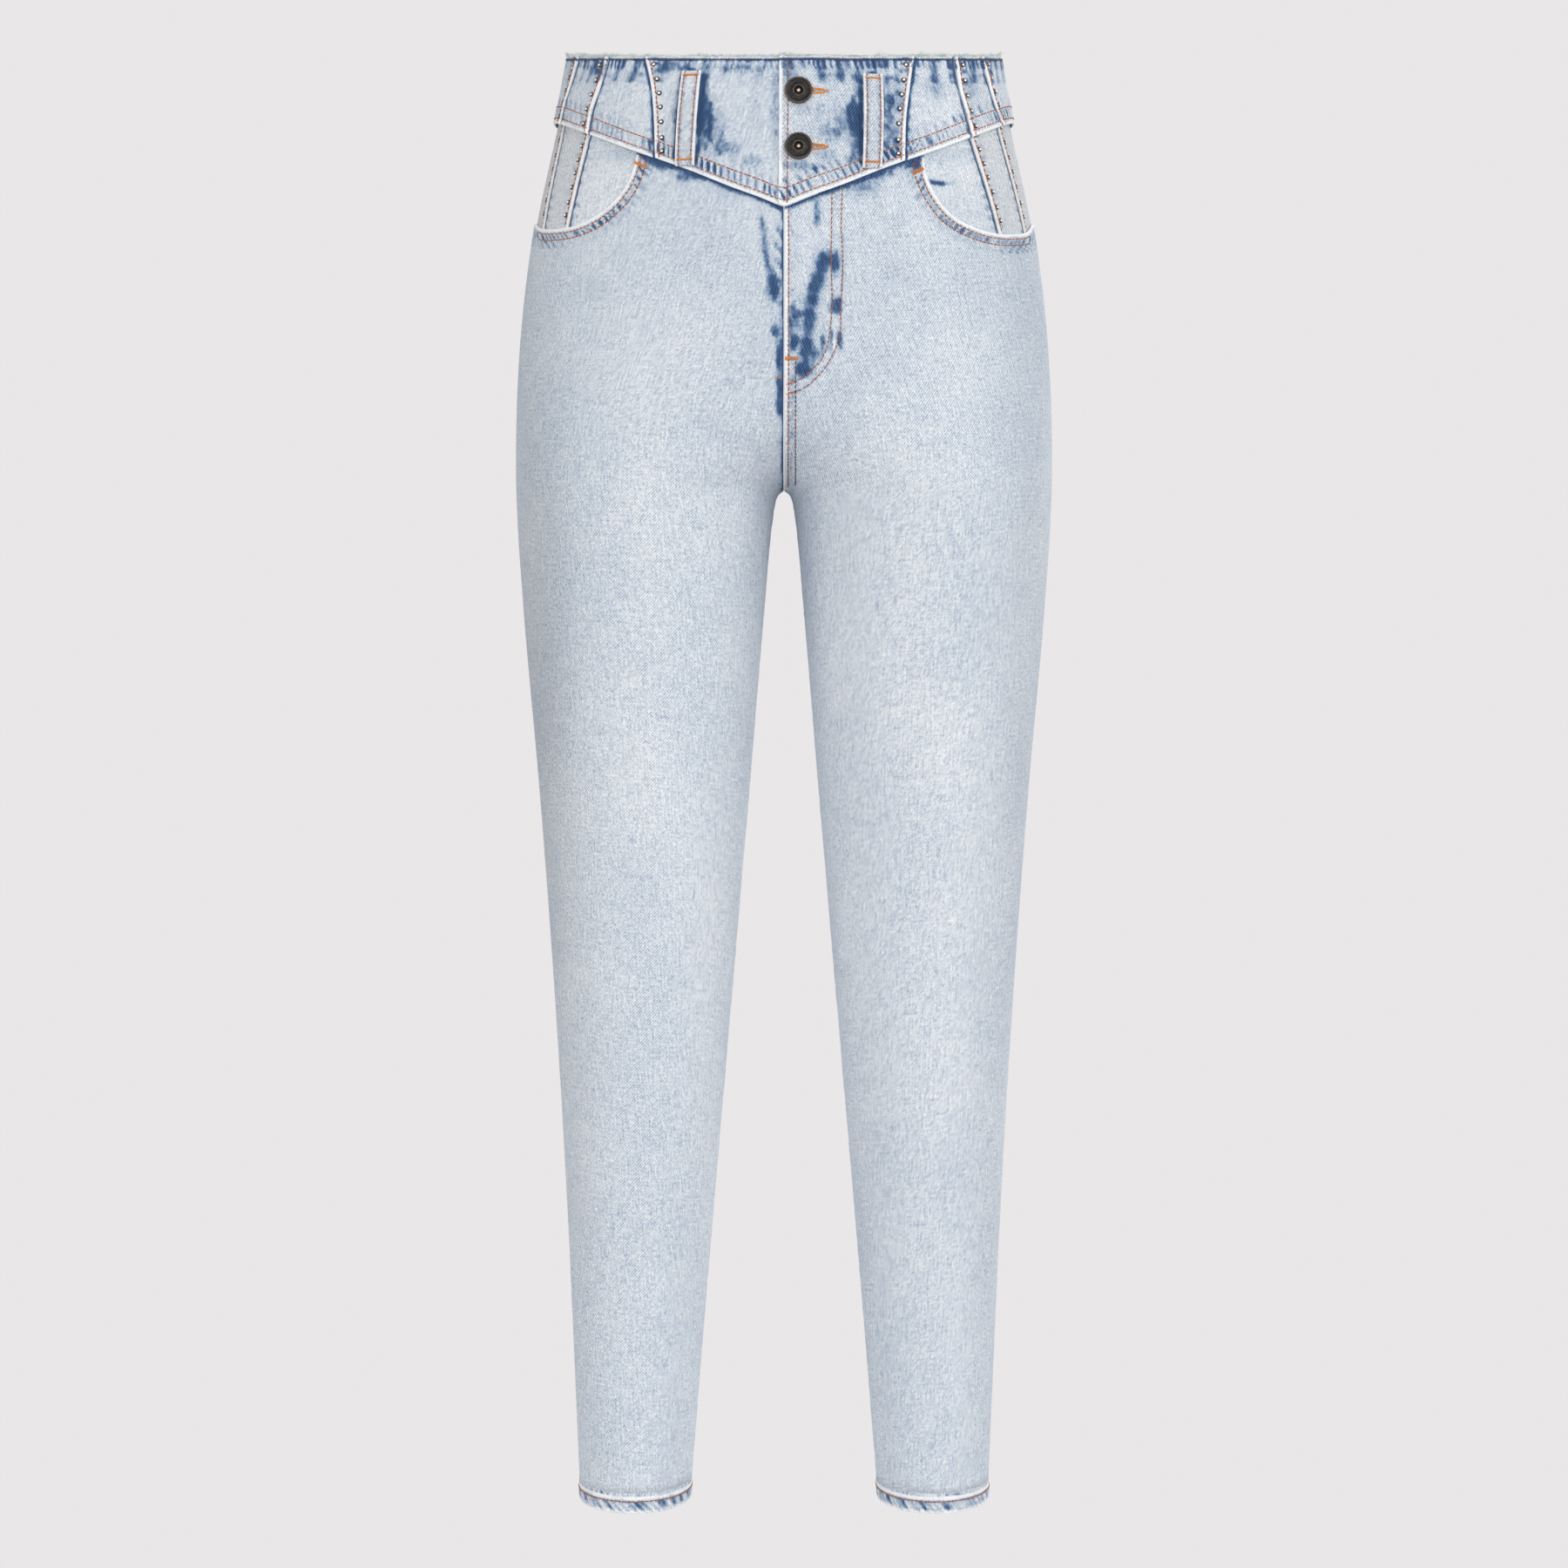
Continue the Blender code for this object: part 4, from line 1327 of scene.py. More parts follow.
class Shader:
    """A material under construction."""

    def __init__(self, name: str) -> None:
        """Starts a material with one principled shader."""
        self.material = bpy.data.materials.new(name)
        self.material.use_nodes = True
        self.tree = self.material.node_tree
        self.principled = self.tree.nodes["Principled BSDF"]

    def node(self, kind: str, settings: dict, inputs: dict) -> bpy.types.Node:
        """Adds a node.

        Args:
            kind: The node's type.
            settings: Its own settings, or "stops" for a ramp, as (place, colour) pairs.
            inputs: Values or links for its sockets, by name or number.

        Returns:
            The node.
        """
        node = self.tree.nodes.new(kind)
        for key, value in settings.items():
            if key == "stops":
                self._set_stops(node.color_ramp, value)
            else:
                setattr(node, key, value)
        for key, value in inputs.items():
            self.feed(node.inputs[key], value)
        return node

    def _set_stops(self, ramp: bpy.types.ColorRamp, stops: tuple) -> None:
        """Gives a ramp its stops."""
        while len(ramp.elements) < len(stops):
            ramp.elements.new(1.0)
        for element, (place, colour) in zip(ramp.elements, stops):
            element.position, element.color = place, colour

    def feed(self, socket: bpy.types.NodeSocket, value: object) -> None:
        """Links a socket or gives it a constant."""
        if isinstance(value, Number):
            self.tree.links.new(value.socket, socket)
        elif isinstance(value, bpy.types.NodeSocket):
            self.tree.links.new(value, socket)
        else:
            socket.default_value = value

    def sum(self, operation: str, first: "Number | float", second: "Number | float") -> Number:
        """One Math node."""
        node = self.node("ShaderNodeMath", {"operation": operation}, {0: first, 1: second})
        return Number(self, node.outputs[0])

    def attribute(self, name: str) -> Number:
        """A number stored on the piece's vertices."""
        return Number(self, self.node("ShaderNodeAttribute", {"attribute_name": name}, {}).outputs["Fac"])

    def cloth_place(self) -> tuple:
        """The piece's UV map, and its two coordinates in millimetres."""
        uv = self.node("ShaderNodeUVMap", {"uv_map": "UVMap"}, {}).outputs["UV"]
        parts = self.node("ShaderNodeSeparateXYZ", {}, {"Vector": uv})
        return uv, Number(self, parts.outputs["X"]) * 1000.0, Number(self, parts.outputs["Y"]) * 1000.0

    def object_place(self) -> bpy.types.NodeSocket:
        """The object's own coordinates."""
        return self.node("ShaderNodeTexCoord", {}, {}).outputs["Object"]

    def noise(self, place: bpy.types.NodeSocket, bumps: tuple, detail: float = 2.0) -> Number:
        """Noise with about so many bumps a metre along each coordinate, centred on 0."""
        mapped = self.node("ShaderNodeMapping", {}, {"Vector": place, "Scale": bumps}).outputs["Vector"]
        inputs = {"Vector": mapped, "Scale": 1.0, "Detail": detail, "Roughness": 0.55}
        return Number(self, self.node("ShaderNodeTexNoise", {}, inputs).outputs["Fac"]) - 0.5

    def ramp(self, value: Number, stops: tuple) -> bpy.types.NodeSocket:
        """A colour for a value, by (place, colour) stops."""
        return self.node("ShaderNodeValToRGB", {"stops": stops}, {"Fac": value}).outputs["Color"]

    def mixed(
        self, factor: "Number | float", first: object, second: object, blend: str = "MIX",
    ) -> bpy.types.NodeSocket:
        """One colour mixed towards another."""
        settings = {"data_type": "RGBA", "blend_type": blend, "clamp_factor": True}
        node = self.node("ShaderNodeMix", settings, {"Factor": factor})
        colours = [socket for socket in node.inputs if socket.type == "RGBA"]
        self.feed(colours[0], first)
        self.feed(colours[1], second)
        return [socket for socket in node.outputs if socket.type == "RGBA"][0]

    def bump(self, height: Number, strength: float, distance: float) -> bpy.types.NodeSocket:
        """A normal from a height, in metres of distance."""
        inputs = {"Height": height, "Strength": strength, "Distance": distance}
        return self.node("ShaderNodeBump", {}, inputs).outputs["Normal"]

    def surface(self, **sockets: object) -> bpy.types.Material:
        """Feeds the principled shader, with underscores for spaces in the sockets' names."""
        for name, value in sockets.items():
            self.feed(self.principled.inputs[name.replace("_", " ")], value)
        return self.material


@dataclass(frozen=True)
class Denim:
    """Light washed twill: pale lines slant up to the right over a blue-grey ground, with uneven warp threads,
    soft clouds from the wash, white wear on the ridges and dark blue kept in the low places. The dark and
    grey marks also carry painted shade: shadow lines under folded edges and beside the belt loops, darker
    outer sides of the legs, and painted light on their inner sides."""

    name: str
    wash: float = 0.77
    twill_pitch: float = 1.25
    twill_slope: float = 46.0
    twill: float = 0.13
    cloud: float = 0.20

    def make(self) -> bpy.types.Material:
        """Builds the material.

        Returns:
            The material.
        """
        s = Shader(self.name)
        uv, u, v = s.cloth_place()
        slope = math.radians(self.twill_slope)
        thread = s.noise(uv, (900, 70, 1), 2.0)
        weft = s.noise(uv, (60, 1100, 1), 1.0)
        grain = s.noise(uv, (820, 560, 1), 3.0)
        patch = s.noise(uv, (150, 110, 1), 2.0)
        fleck = s.noise(uv, (420, 260, 1), 3.0)
        cloud = s.noise(s.object_place(), (16, 16, 11), 3.0)
        haze = s.noise(s.object_place(), (5, 5, 3), 1.0)
        phase = (u * math.sin(slope) - v * math.cos(slope)) * (2 * math.pi / self.twill_pitch)
        twill = (phase + grain * 2.4 + patch * 2.0).sine()
        wear, indigo, grey, inside = (s.attribute(n) for n in ("wear", "indigo", "grey", "inside"))
        # the dark mask takes the cloth's own unwashed blue and the painted shade and shadow alike
        dye_and_shade_mask = (indigo + patch * 0.9 + fleck * 1.6 + twill * 0.16 - wear * 0.35).between(0.12, 1.15)
        ground = self.wash + twill * self.twill + thread * 0.36 + weft * 0.18 + grain * 0.72
        ground = ground + fleck * 0.40 + patch * 0.16 + cloud * self.cloud + haze * 0.08 - indigo * 0.20
        worn = (wear + grain * 0.8 + patch * 0.3).between(0.25, 0.95)
        value = ground * (1 - worn * 0.8) + worn * 0.86 + inside * 0.12
        value = value * (1 - dye_and_shade_mask * 0.9) + dye_and_shade_mask * (0.10 + thread * 0.25 + twill * 0.09)
        colour = s.ramp(value, (
            (0.0, srgb(24, 44, 78)), (0.2, srgb(60, 89, 130)), (0.42, srgb(122, 146, 176)),
            (0.62, srgb(174, 188, 205)), (0.78, srgb(210, 217, 225)), (1.0, srgb(246, 248, 250)),
        ))
        # grey: the tone of the facings, the hems and the loops, and painted shade down the outer sides of the
        # legs
        colour = s.mixed(grey.between(0, 1) * 0.75, colour, srgb(214, 208, 202), "MULTIPLY")
        colour = s.mixed(inside * 0.45, colour, srgb(226, 228, 230))
        height = twill * 0.35 + thread * 1.3 + weft * 0.9 + grain * 0.8
        return s.surface(
            Base_Color=colour, Roughness=0.9, Specular_IOR_Level=0.18, Sheen_Weight=0.12, Sheen_Roughness=0.5,
            Normal=s.bump(height, 0.55, 0.0004),
        )


@dataclass(frozen=True)
class ThreadFinish:
    """Sewing thread: one colour that the wash has faded unevenly."""

    name: str
    colour: tuple
    faded: tuple

    def make(self) -> bpy.types.Material:
        """Builds the material.

        Returns:
            The material.
        """
        s = Shader(self.name)
        patch = s.noise(s.object_place(), (90, 90, 90), 2.0)
        colour = s.mixed((patch + 0.1).between(-0.15, 0.35), srgb(*self.colour), srgb(*self.faded))
        fibre = s.noise(s.object_place(), (2600, 2600, 2600), 1.0)
        return s.surface(Base_Color=colour, Roughness=0.75, Normal=s.bump(fibre, 0.4, 0.0001))


@dataclass(frozen=True)
class Metal:
    """Plated metal, dark in its hollows and worn bright where it stands up; on the studs the bright tops are
    a painted highlight.
    """

    name: str
    colour: tuple
    bright: tuple
    roughness: float

    def make(self) -> bpy.types.Material:
        """Builds the material.

        Returns:
            The material.
        """
        s = Shader(self.name)
        rubbed = s.attribute("rubbed")
        speck = s.noise(s.object_place(), (900, 900, 900), 3.0)
        # worn rims and the copper pin on the buttons, and a painted highlight on the tops of the studs
        colour = s.mixed(rubbed + speck * 0.25, srgb(*self.colour), srgb(*self.bright))
        return s.surface(
            Base_Color=colour, Metallic=0.95, Roughness=self.roughness + speck * 0.25,
            Normal=s.bump(speck, 0.25, 0.0001),
        )


def behind(*marks: object) -> tuple:
    """The same marks on the back of the garment, placed by x and by the distance below the waist."""
    return tuple(replace(mark, plane=Plane.BACK_VIEW) for mark in marks)


LEG_MARKS = (
    BelowYoke(),
    # dye kept beside the fly, in the streak between its edge and the curved stitching
    Line(((27.3, 120), (24.6, 133), (20.2, 144), (16.6, 162), (14.9, 175), (14, 188), (12.7, 207)), 4.6,
         -0.5, 0, 1.25, seed=101),
    Line(((-14.7, 97), (-10.8, 130), (-3.5, 156)), 2.2, -0.3, 0, 0.7, seed=102),
    # painted shadow: the next line, just beside the fly's folded edge
    Line(((-3.2, 176), (-3.0, 232)), 1.8, -0.2, 0, 1.0, seed=103),
    Blot(33.4, 131, 2.8, 5.6, 0.95), Blot(33.4, 158, 3.9, 4.8, 0.95), Blot(20.8, 100, 2.4, 7.5, 0.7),
    Blot(6.7, 165, 3.6, 5.6, 0.85), Blot(6.4, 180.5, 3.3, 6, 0.95), Blot(24.7, 179, 1.9, 4.8, 0.85),
    Blot(30.2, 182, 1.6, 6.2, 0.75), Blot(35.8, 181, 1.8, 5.8, 0.75), Blot(-6.9, 148, 3.9, 8.5, 0.75),
    Blot(-4.7, 174.5, 2.9, 4.0, 0.85), Blot(21, 190, 3, 4, 0.6), Blot(9, 198, 2.5, 3.5, 0.6),
    Blot(31.8, 183, 1.3, 4.2, 0, 0.9), Blot(13, 130, 4, 18, 0, 0.25), Blot(20, 160, 3, 7, 0, 0.35),
    Blot(-78, 68, 6.5, 2.8, 0.65), Blot(51, 81, 8, 8.5, 0.5), Blot(46, 74, 7, 3.5, 0.55),
    Blot(-60, 76, 8, 2.6, 0.6), Blot(62, 74, 9, 2.6, 0.6), Blot(84, 68, 5, 3, 0.5),
    # the stitched rows of the fly draw the cloth in
    Line(((36.9, 91), (36.5, 109), (37.4, 125), (36.1, 166.5), (36.1, 173), (33.4, 184), (28.1, 195),
          (21, 203.7), (11.3, 211.5), (1, 214.2)), 1.1, -0.3, 0, 0.3, seed=104),
    Line(((30.4, 91), (30.1, 126.5), (30.1, 166.5), (29, 176), (27.2, 184.8), (23.7, 192.6), (15.7, 200.9),
          (9.5, 205.4), (1, 208.1)), 1.1, -0.3, 0, 0.25, seed=105),
    Fold(((20, 104), (17, 135), (9, 170)), 4.5, 0.5, wear=0.25, seed=12),
    Fold(((-20, 112), (-14, 140), (-9, 165)), 4.0, 0.45, wear=0.2, seed=13),
    # soft creases at the fork
    Fold(((6, 264), (26, 248), (56, 234)), 6.0, -0.9, indigo=0.12, seed=2),
    Fold(((8, 251), (30, 234), (72, 214)), 7.0, 0.6, wear=0.1, seed=3),
    Fold(((-7, 262), (-30, 244), (-64, 226)), 6.5, -0.9, indigo=0.12, seed=4),
    Fold(((-10, 246), (-36, 226), (-66, 205)), 8.0, 0.6, wear=0.1, seed=5),
    Fold(((10, 232), (34, 210), (78, 190)), 8.0, -0.5, indigo=0.08, seed=6),
    Fold(((18, 300), (30, 330), (36, 372)), 9.0, -0.8, seed=7),
    Fold(((-18, 302), (-32, 336), (-38, 380)), 9.0, -0.8, seed=8),
    # hips and thighs
    Fold(((-154, 140), (-128, 152), (-96, 150)), 9.0, -0.7, indigo=0.08, seed=9),
    Fold(((156, 142), (126, 156), (98, 152)), 9.0, -0.7, indigo=0.08, seed=10),
    Fold(((-160, 200), (-140, 240), (-136, 300)), 12.0, -0.8, seed=11),
    Fold(((160, 190), (142, 236), (138, 290)), 12.0, -0.8, seed=14),
    Fold(((-80, 200), (-92, 300), (-88, 410)), 22.0, 1.0, wear=0.08, seed=15),
    Fold(((82, 205), (94, 310), (90, 420)), 22.0, 1.0, wear=0.08, seed=16),
    # knees and ankles
    Fold(((-134, 510), (-104, 520), (-64, 506)), 10.0, -0.9, indigo=0.06, seed=17),
    Fold(((134, 506), (100, 519), (62, 510)), 10.0, -0.9, indigo=0.06, seed=18),
    Fold(((-128, 556), (-96, 548), (-66, 556)), 9.0, -0.6, seed=19),
    Fold(((128, 560), (98, 550), (68, 558)), 9.0, -0.6, seed=20),
    Fold(((-122, 800), (-98, 812), (-74, 806)), 8.0, -0.8, seed=21),
    Fold(((120, 806), (98, 815), (72, 803)), 8.0, -0.8, seed=22),
    Fold(((-120, 842), (-96, 834), (-72, 842)), 7.0, -0.8, seed=23),
    Fold(((121, 838), (100, 846), (73, 836)), 7.0, -0.8, seed=24),
    Fold(((-116, 872), (-94, 880), (-74, 873)), 6.0, -0.6, seed=25),
    Fold(((116, 876), (92, 868), (74, 877)), 6.0, -0.6, seed=26),
    # darker at the hips and the fork, and paler down the front of the thighs; painted shade darkens the outer
    # sides, and painted light brightens the inner sides
    Haze(-150, 180, 34, 90, 0.10), Haze(152, 180, 30, 90, 0.14), Haze(0, 250, 34, 46, 0.12),
    # painted shade: the first two, darker and greyer down the outer sides of the legs
    Haze(-158, 420, 26, 260, 0.06, 0.5), Haze(158, 420, 22, 260, 0.10, 0.2), Haze(-86, 330, 40, 150, -0.10),
    Haze(86, 330, 40, 150, -0.12), Haze(-100, 700, 26, 120, -0.04), Haze(100, 560, 40, 160, -0.16),
    # painted light: the next four, paler on the inner sides of the legs, which turn away from the lamps
    Haze(-26, 420, 18, 160, -0.34), Haze(26, 420, 18, 160, -0.34), Haze(-48, 640, 16, 160, -0.22),
    Haze(48, 640, 16, 160, -0.22),
    Haze(-60, 130, 50, 30, 0.10), Haze(70, 140, 50, 30, 0.10), Haze(0, 130, 30, 40, 0.08),
    # behind: under the seat, at the backs of the knees and at the ankles
    *behind(
        Fold(((18, 268), (60, 286), (116, 282)), 8.0, -3.0, indigo=0.16, seed=31),
        Fold(((-18, 268), (-64, 290), (-112, 280)), 8.0, -3.0, indigo=0.16, seed=32),
        Fold(((26, 292), (66, 306), (106, 300)), 9.0, 1.8, wear=0.2, seed=33),
        Fold(((-24, 294), (-60, 308), (-104, 300)), 9.0, 1.8, wear=0.2, seed=34),
        Fold(((12, 236), (44, 246), (84, 236)), 9.0, -0.9, seed=35),
        Fold(((-12, 232), (-48, 243), (-88, 232)), 9.0, -0.9, seed=36),
        Fold(((58, 492), (92, 506), (132, 498)), 8.0, -2.4, indigo=0.14, seed=37),
        Fold(((-58, 490), (-96, 505), (-132, 494)), 8.0, -2.4, indigo=0.14, seed=38),
        Fold(((62, 520), (96, 528), (130, 516)), 7.0, 1.0, wear=0.12, seed=39),
        Fold(((-60, 518), (-98, 529), (-130, 520)), 7.0, 1.0, wear=0.12, seed=40),
        Fold(((66, 545), (98, 538), (128, 548)), 7.0, -1.8, indigo=0.1, seed=41),
        Fold(((-64, 544), (-96, 540), (-128, 546)), 7.0, -1.8, indigo=0.1, seed=42),
        Fold(((72, 836), (100, 846), (124, 838)), 7.0, -1.0, seed=43),
        Fold(((-74, 838), (-98, 847), (-122, 836)), 7.0, -1.0, seed=44),
        Fold(((70, 868), (98, 862), (120, 872)), 6.0, -0.8, seed=45),
        Fold(((-72, 870), (-96, 862), (-120, 870)), 6.0, -0.8, seed=46),
        Haze(0, 190, 34, 120, 0.16), Haze(86, 190, 40, 60, -0.10),
        Haze(-86, 190, 40, 60, -0.10), Haze(0, 300, 70, 40, 0.18),
    ),
)

YOKE_MARKS = (
    # painted shadow: the dark outlines of the belt loops
    Line(((-51.2, 9), (-55.8, 70)), 1.3, indigo=1.2, seed=111),
    Line(((-64.6, 9), (-69.2, 70)), 1.3, indigo=1.1, seed=112),
    Line(((48.9, 11), (48.7, 71)), 1.3, indigo=1.2, seed=113),
    Line(((62.3, 11), (62.1, 71)), 1.3, indigo=1.1, seed=114),
    Line(((-51.5, 8.5), (-64.5, 8)), 1.1, indigo=0.9, seed=115),
    Line(((49, 10.2), (62, 10.2)), 1.1, indigo=0.9, seed=116),
    # beside the belt loops the dye was kept
    Blot(-50.8, 33, 4.0, 26, 0.95, 0, -0.35), Blot(-44, 46, 6, 16, 0.45), Blot(-67.5, 40, 3.0, 13, 0.75),
    Blot(45.2, 44, 3.8, 20, 0.9, 0, -0.35), Blot(38, 42, 7, 10, 0.5), Blot(30, 50, 7, 6, 0.4),
    Blot(66.5, 36, 2.6, 20, 0.7), Blot(72, 26, 4, 12, 0.45), Blot(70, 52, 3, 9, 0.55),
    Blot(-36, 58, 8.5, 4.5, 0.5), Blot(-20, 66, 8, 4, 0.4), Blot(-70, 7, 8, 3, 0.6),
    Blot(-30, 8, 12, 3, 0.45), Blot(8, 70, 12, 2.8, 0.55), Blot(26, 62, 6, 3.5, 0.4),
    Blot(34, 12, 10, 3.2, 0.4), Blot(60, 5, 9, 3, 0.5), Blot(-6, 30, 2.4, 22, 0.4),
    Blot(14, 34, 6, 3, 0.25), Blot(22, 36, 4, 6, 0.3),
    Blot(95, 20, 7, 6, 0.35), Blot(-92, 12, 8, 4, 0.35), Blot(118, 18, 5, 9, 0.4), Blot(-116, 10, 6, 5, 0.45),
    Blot(-20, 30, 10, 14, 0, 0.3), Blot(18, 20, 6, 5, 0, 0.35), Blot(-100, 32, 7, 9, 0, 0.3),
    Blot(100, 38, 8, 8, 0, 0.3),
    # soft gathers down from the top edge
    Fold(((-60, 2), (-64, 22), (-62, 44)), 4.0, -0.6, indigo=0.2, seed=61),
    Fold(((-30, 2), (-36, 20), (-38, 48)), 5.0, 0.6, wear=0.2, seed=62),
    Fold(((-14, 4), (-18, 30), (-16, 60)), 4.5, -0.5, indigo=0.15, seed=63),
    Fold(((24, 2), (30, 24), (32, 48)), 4.5, -0.6, indigo=0.15, seed=64),
    Fold(((40, 4), (36, 26), (40, 52)), 4.0, 0.5, wear=0.2, seed=65),
    Fold(((12, 44), (20, 46), (30, 42)), 3.0, -0.4, indigo=0.15, seed=66),
    Fold(((94, 3), (98, 20), (100, 40)), 4.0, -0.5, indigo=0.15, seed=67),
    Fold(((-96, 3), (-100, 22), (-104, 40)), 4.0, -0.5, indigo=0.15, seed=68),
    *behind(
        Fold(((60, 6), (110, 18), (150, 20)), 4.0, -0.4, indigo=0.15, seed=69),
        Fold(((30, -8), (34, 10), (28, 34)), 5.0, -0.6, indigo=0.15, seed=70),
        Fold(((-34, -8), (-30, 12), (-36, 36)), 5.0, -0.6, indigo=0.15, seed=71),
        Fold(((84, -4), (88, 14), (80, 34)), 5.0, 0.5, wear=0.15, seed=72),
        Fold(((-88, -4), (-82, 12), (-90, 34)), 5.0, 0.5, wear=0.15, seed=73),
        Blot(70, 20, 4, 16, 0.5), Blot(-66, 24, 4, 14, 0.5),
        Blot(14, 10, 4, 14, 0.45), Blot(-14, 16, 3, 16, 0.45),
    ),
    Haze(-92, 40, 30, 60, -0.2), Haze(100, 40, 30, 60, -0.1), *behind(Haze(0, 20, 120, 60, 0.06)),
)

FACING_MARKS = (
    Fold(((92, 78), (97, 79.4), (104, 80)), 1.3, -0.8, indigo=1.9, seed=91),
    Fold(((100, 80), (106, 80), (112, 78)), 1.6, -0.5, indigo=0.6, seed=94),
    Fold(((-104, 66), (-112, 80), (-124, 88)), 6.0, 0.4, wear=0.15, seed=92),
    Fold(((112, 66), (118, 84), (128, 96)), 6.0, 0.4, wear=0.15, seed=93),
    Haze(-100, 62, 30, 6, 0.25), Haze(102, 62, 30, 6, 0.25), Haze(116, 92, 26, 26, 0.14),
)


class FrontLeg:
    """A front leg panel, scooped out at the pocket mouth, and the columns that the facing shares."""

    PITCH = 1.45
    EDGE_ROWS = (0, 0.2, 0.5, 1, 1.8, 2.6, 3.6, 4.6, 5.6, 6.8)
    FAN_ROWS = 96
    DOWN_ROWS = 128

    def __init__(self, side: Side) -> None:
        """Lays out the panel's upper edge and its first rows.

        Args:
            side: Which half.
        """
        self.side = side
        start = MOUTH_COLUMN[side]
        columns = self._yoke_columns(start)
        points = [getattr(p, side.label) for p in MOUTH]
        turn, z = FORM.locate(*np.array(points, float).T)
        first = FORM.yoke_turns(side, [start], [LEG_TUCK])[0]
        knots_turn = np.concatenate([first, turn, [t for _, t, _, _ in MOUTH_SIDE]])
        knots_z = np.concatenate([FORM.yoke_z(first, LEG_TUCK), z, [-d for _, _, d, _ in MOUTH_SIDE]])
        run = length_along(FORM.surface(knots_turn, knots_z), 0)
        self.mouth_run = run
        shown = Places(side, knots_turn, knots_z)
        ahead = knots_turn < -0.05
        ends = [(side.value * 162.0, float(shown.drop[ahead][-1]))]
        self.mouth_line = (*zip(shown.across[ahead].tolist(), shown.drop[ahead].tolist()), *ends)
        fly = FLY_FOLD if side is Side.LEFT else FLY_UNDER
        self.marks_on = (*LEG_MARKS, EdgeLine(self.mouth_line, MOUTH_FOLD), EdgeLine(FLY_LINE, fly))
        stretches = [np.linspace(run[a], run[b], max(3, round((run[b] - run[a]) / self.PITCH)))
                     for a, b in zip(FACING_SEAMS, FACING_SEAMS[1:])]
        mouth = np.unique(np.round(np.concatenate(stretches + [run[-1] - np.array([0.2, 0.5, 1.0])]), 6))
        self.mouth = mouth
        self.mouth_columns = np.interp(mouth, run, [start, *(p.column for p in MOUTH), 2.5, 3.0])
        ends_at = MOUTH[0].runs_to * np.arange(7) / 7
        runs_yoke = np.interp(columns, [*np.linspace(-1, 0, 6), start], ends_at)
        knots_run = [ends_at[-1], *(p.runs_to for p in MOUTH), *(r for _, _, _, r in MOUTH_SIDE)]
        runs = np.concatenate([runs_yoke[:-1], np.interp(mouth, run, knots_run)])
        self.fork_turns = -1 + (1 + SIDE_SEAM) * runs
        self.first = len(columns) - 1
        turn_yoke = FORM.yoke_turns(side, columns[:-1], [LEG_TUCK, 1.0])
        z_yoke = np.stack([FORM.yoke_z(turn_yoke[0], LEG_TUCK), FORM.yoke_end_z(turn_yoke[1])])
        turn_mouth, z_mouth = smooth(mouth, run, knots_turn), smooth(mouth, run, knots_z)
        z_below = z_mouth - MOUTH_EDGE
        run_in = MOUTH_EDGE / (FORK_DROP + z_mouth) * 2
        turn_below = turn_mouth + (self.fork_turns[self.first:] - turn_mouth) * run_in
        self.turn_top = np.concatenate([turn_yoke, np.stack([turn_mouth, turn_below])], axis=1)
        self.z_top = np.concatenate([z_yoke, np.stack([z_mouth, z_below])], axis=1)

    def _yoke_columns(self, start: float) -> np.ndarray:
        """Columns from the centre front to the start of the mouth, closer together at the fly's edge."""
        reach = CENTRE_ARC * (1 + start * 0.5)
        distance = np.concatenate([[0, 0.2, 0.5], np.arange(1.0, reach, self.PITCH)])
        columns = np.interp(distance, [0, CENTRE_ARC, CENTRE_ARC * 2], [-1, 0, 2])
        return np.append(columns[columns < start - 0.01], start)

    def below(self, shares: np.ndarray, columns: slice) -> tuple[np.ndarray, np.ndarray]:
        """Rows from the upper edge to the panel's second row, at shares of the way."""
        shares = shares[:, None]
        turn = self.turn_top[0, columns] * (1 - shares) + self.turn_top[1, columns] * shares
        z = self.z_top[0, columns] * (1 - shares) + self.z_top[1, columns] * shares
        return turn, z

    def fan(self, shares: np.ndarray, columns: slice) -> tuple[np.ndarray, np.ndarray]:
        """Rows from the second row to the fork, at shares of the way down."""
        shares = shares[:, None]
        turn = self.turn_top[1, columns]
        turn = turn + (self.fork_turns[columns] - turn) * (1 - (1 - shares) ** 2)
        z = self.z_top[1, columns]
        return turn, z + (-FORK_DROP - z) * shares

    def beside_mouth(self, distance: float) -> Path:
        """A line on the panel at a distance from the pocket mouth, as the front elevation shows it."""
        line = curve(self.mouth_line, 90)
        way = unit(np.gradient(line, axis=0))
        off = line + distance * self.side.value * np.stack([-way[:, 1], way[:, 0]], axis=1)
        edge = smooth(np.abs(off[:, 0]), *np.array(V_LINE, float).T)
        off = off[(np.abs(off[:, 0]) < 157.5) & (off[:, 1] > edge + 0.6)]
        return front_path(off[:, 0], off[:, 1], leg_lift, self.marks_on)

    def shell(self) -> Shell:
        """The panel."""
        every = slice(None)
        top = self.below(np.array(self.EDGE_ROWS) / MOUTH_EDGE, every)
        fan = self.fan(np.linspace(0, 1, self.FAN_ROWS), every)
        turn, z = (np.concatenate([a, b]) for a, b in zip(top, fan))
        turn, z = run_down(turn, z, self.fork_turns, self.DOWN_ROWS)
        turn = drawn_in(turn, z)
        edges = {Edge.TOP: ROLLED, Edge.FRONT: FrontEdge(ROLLED), Edge.BACK: SEWN, Edge.BOTTOM: PLAIN}
        grain = math.radians(5 if self.side is Side.LEFT else -3)
        return Shell(f"front_leg_{self.side.label}", self.side, turn, z, leg_lift(turn, z), edges=edges,
                     marks_on=self.marks_on, apart=True, grain=grain)


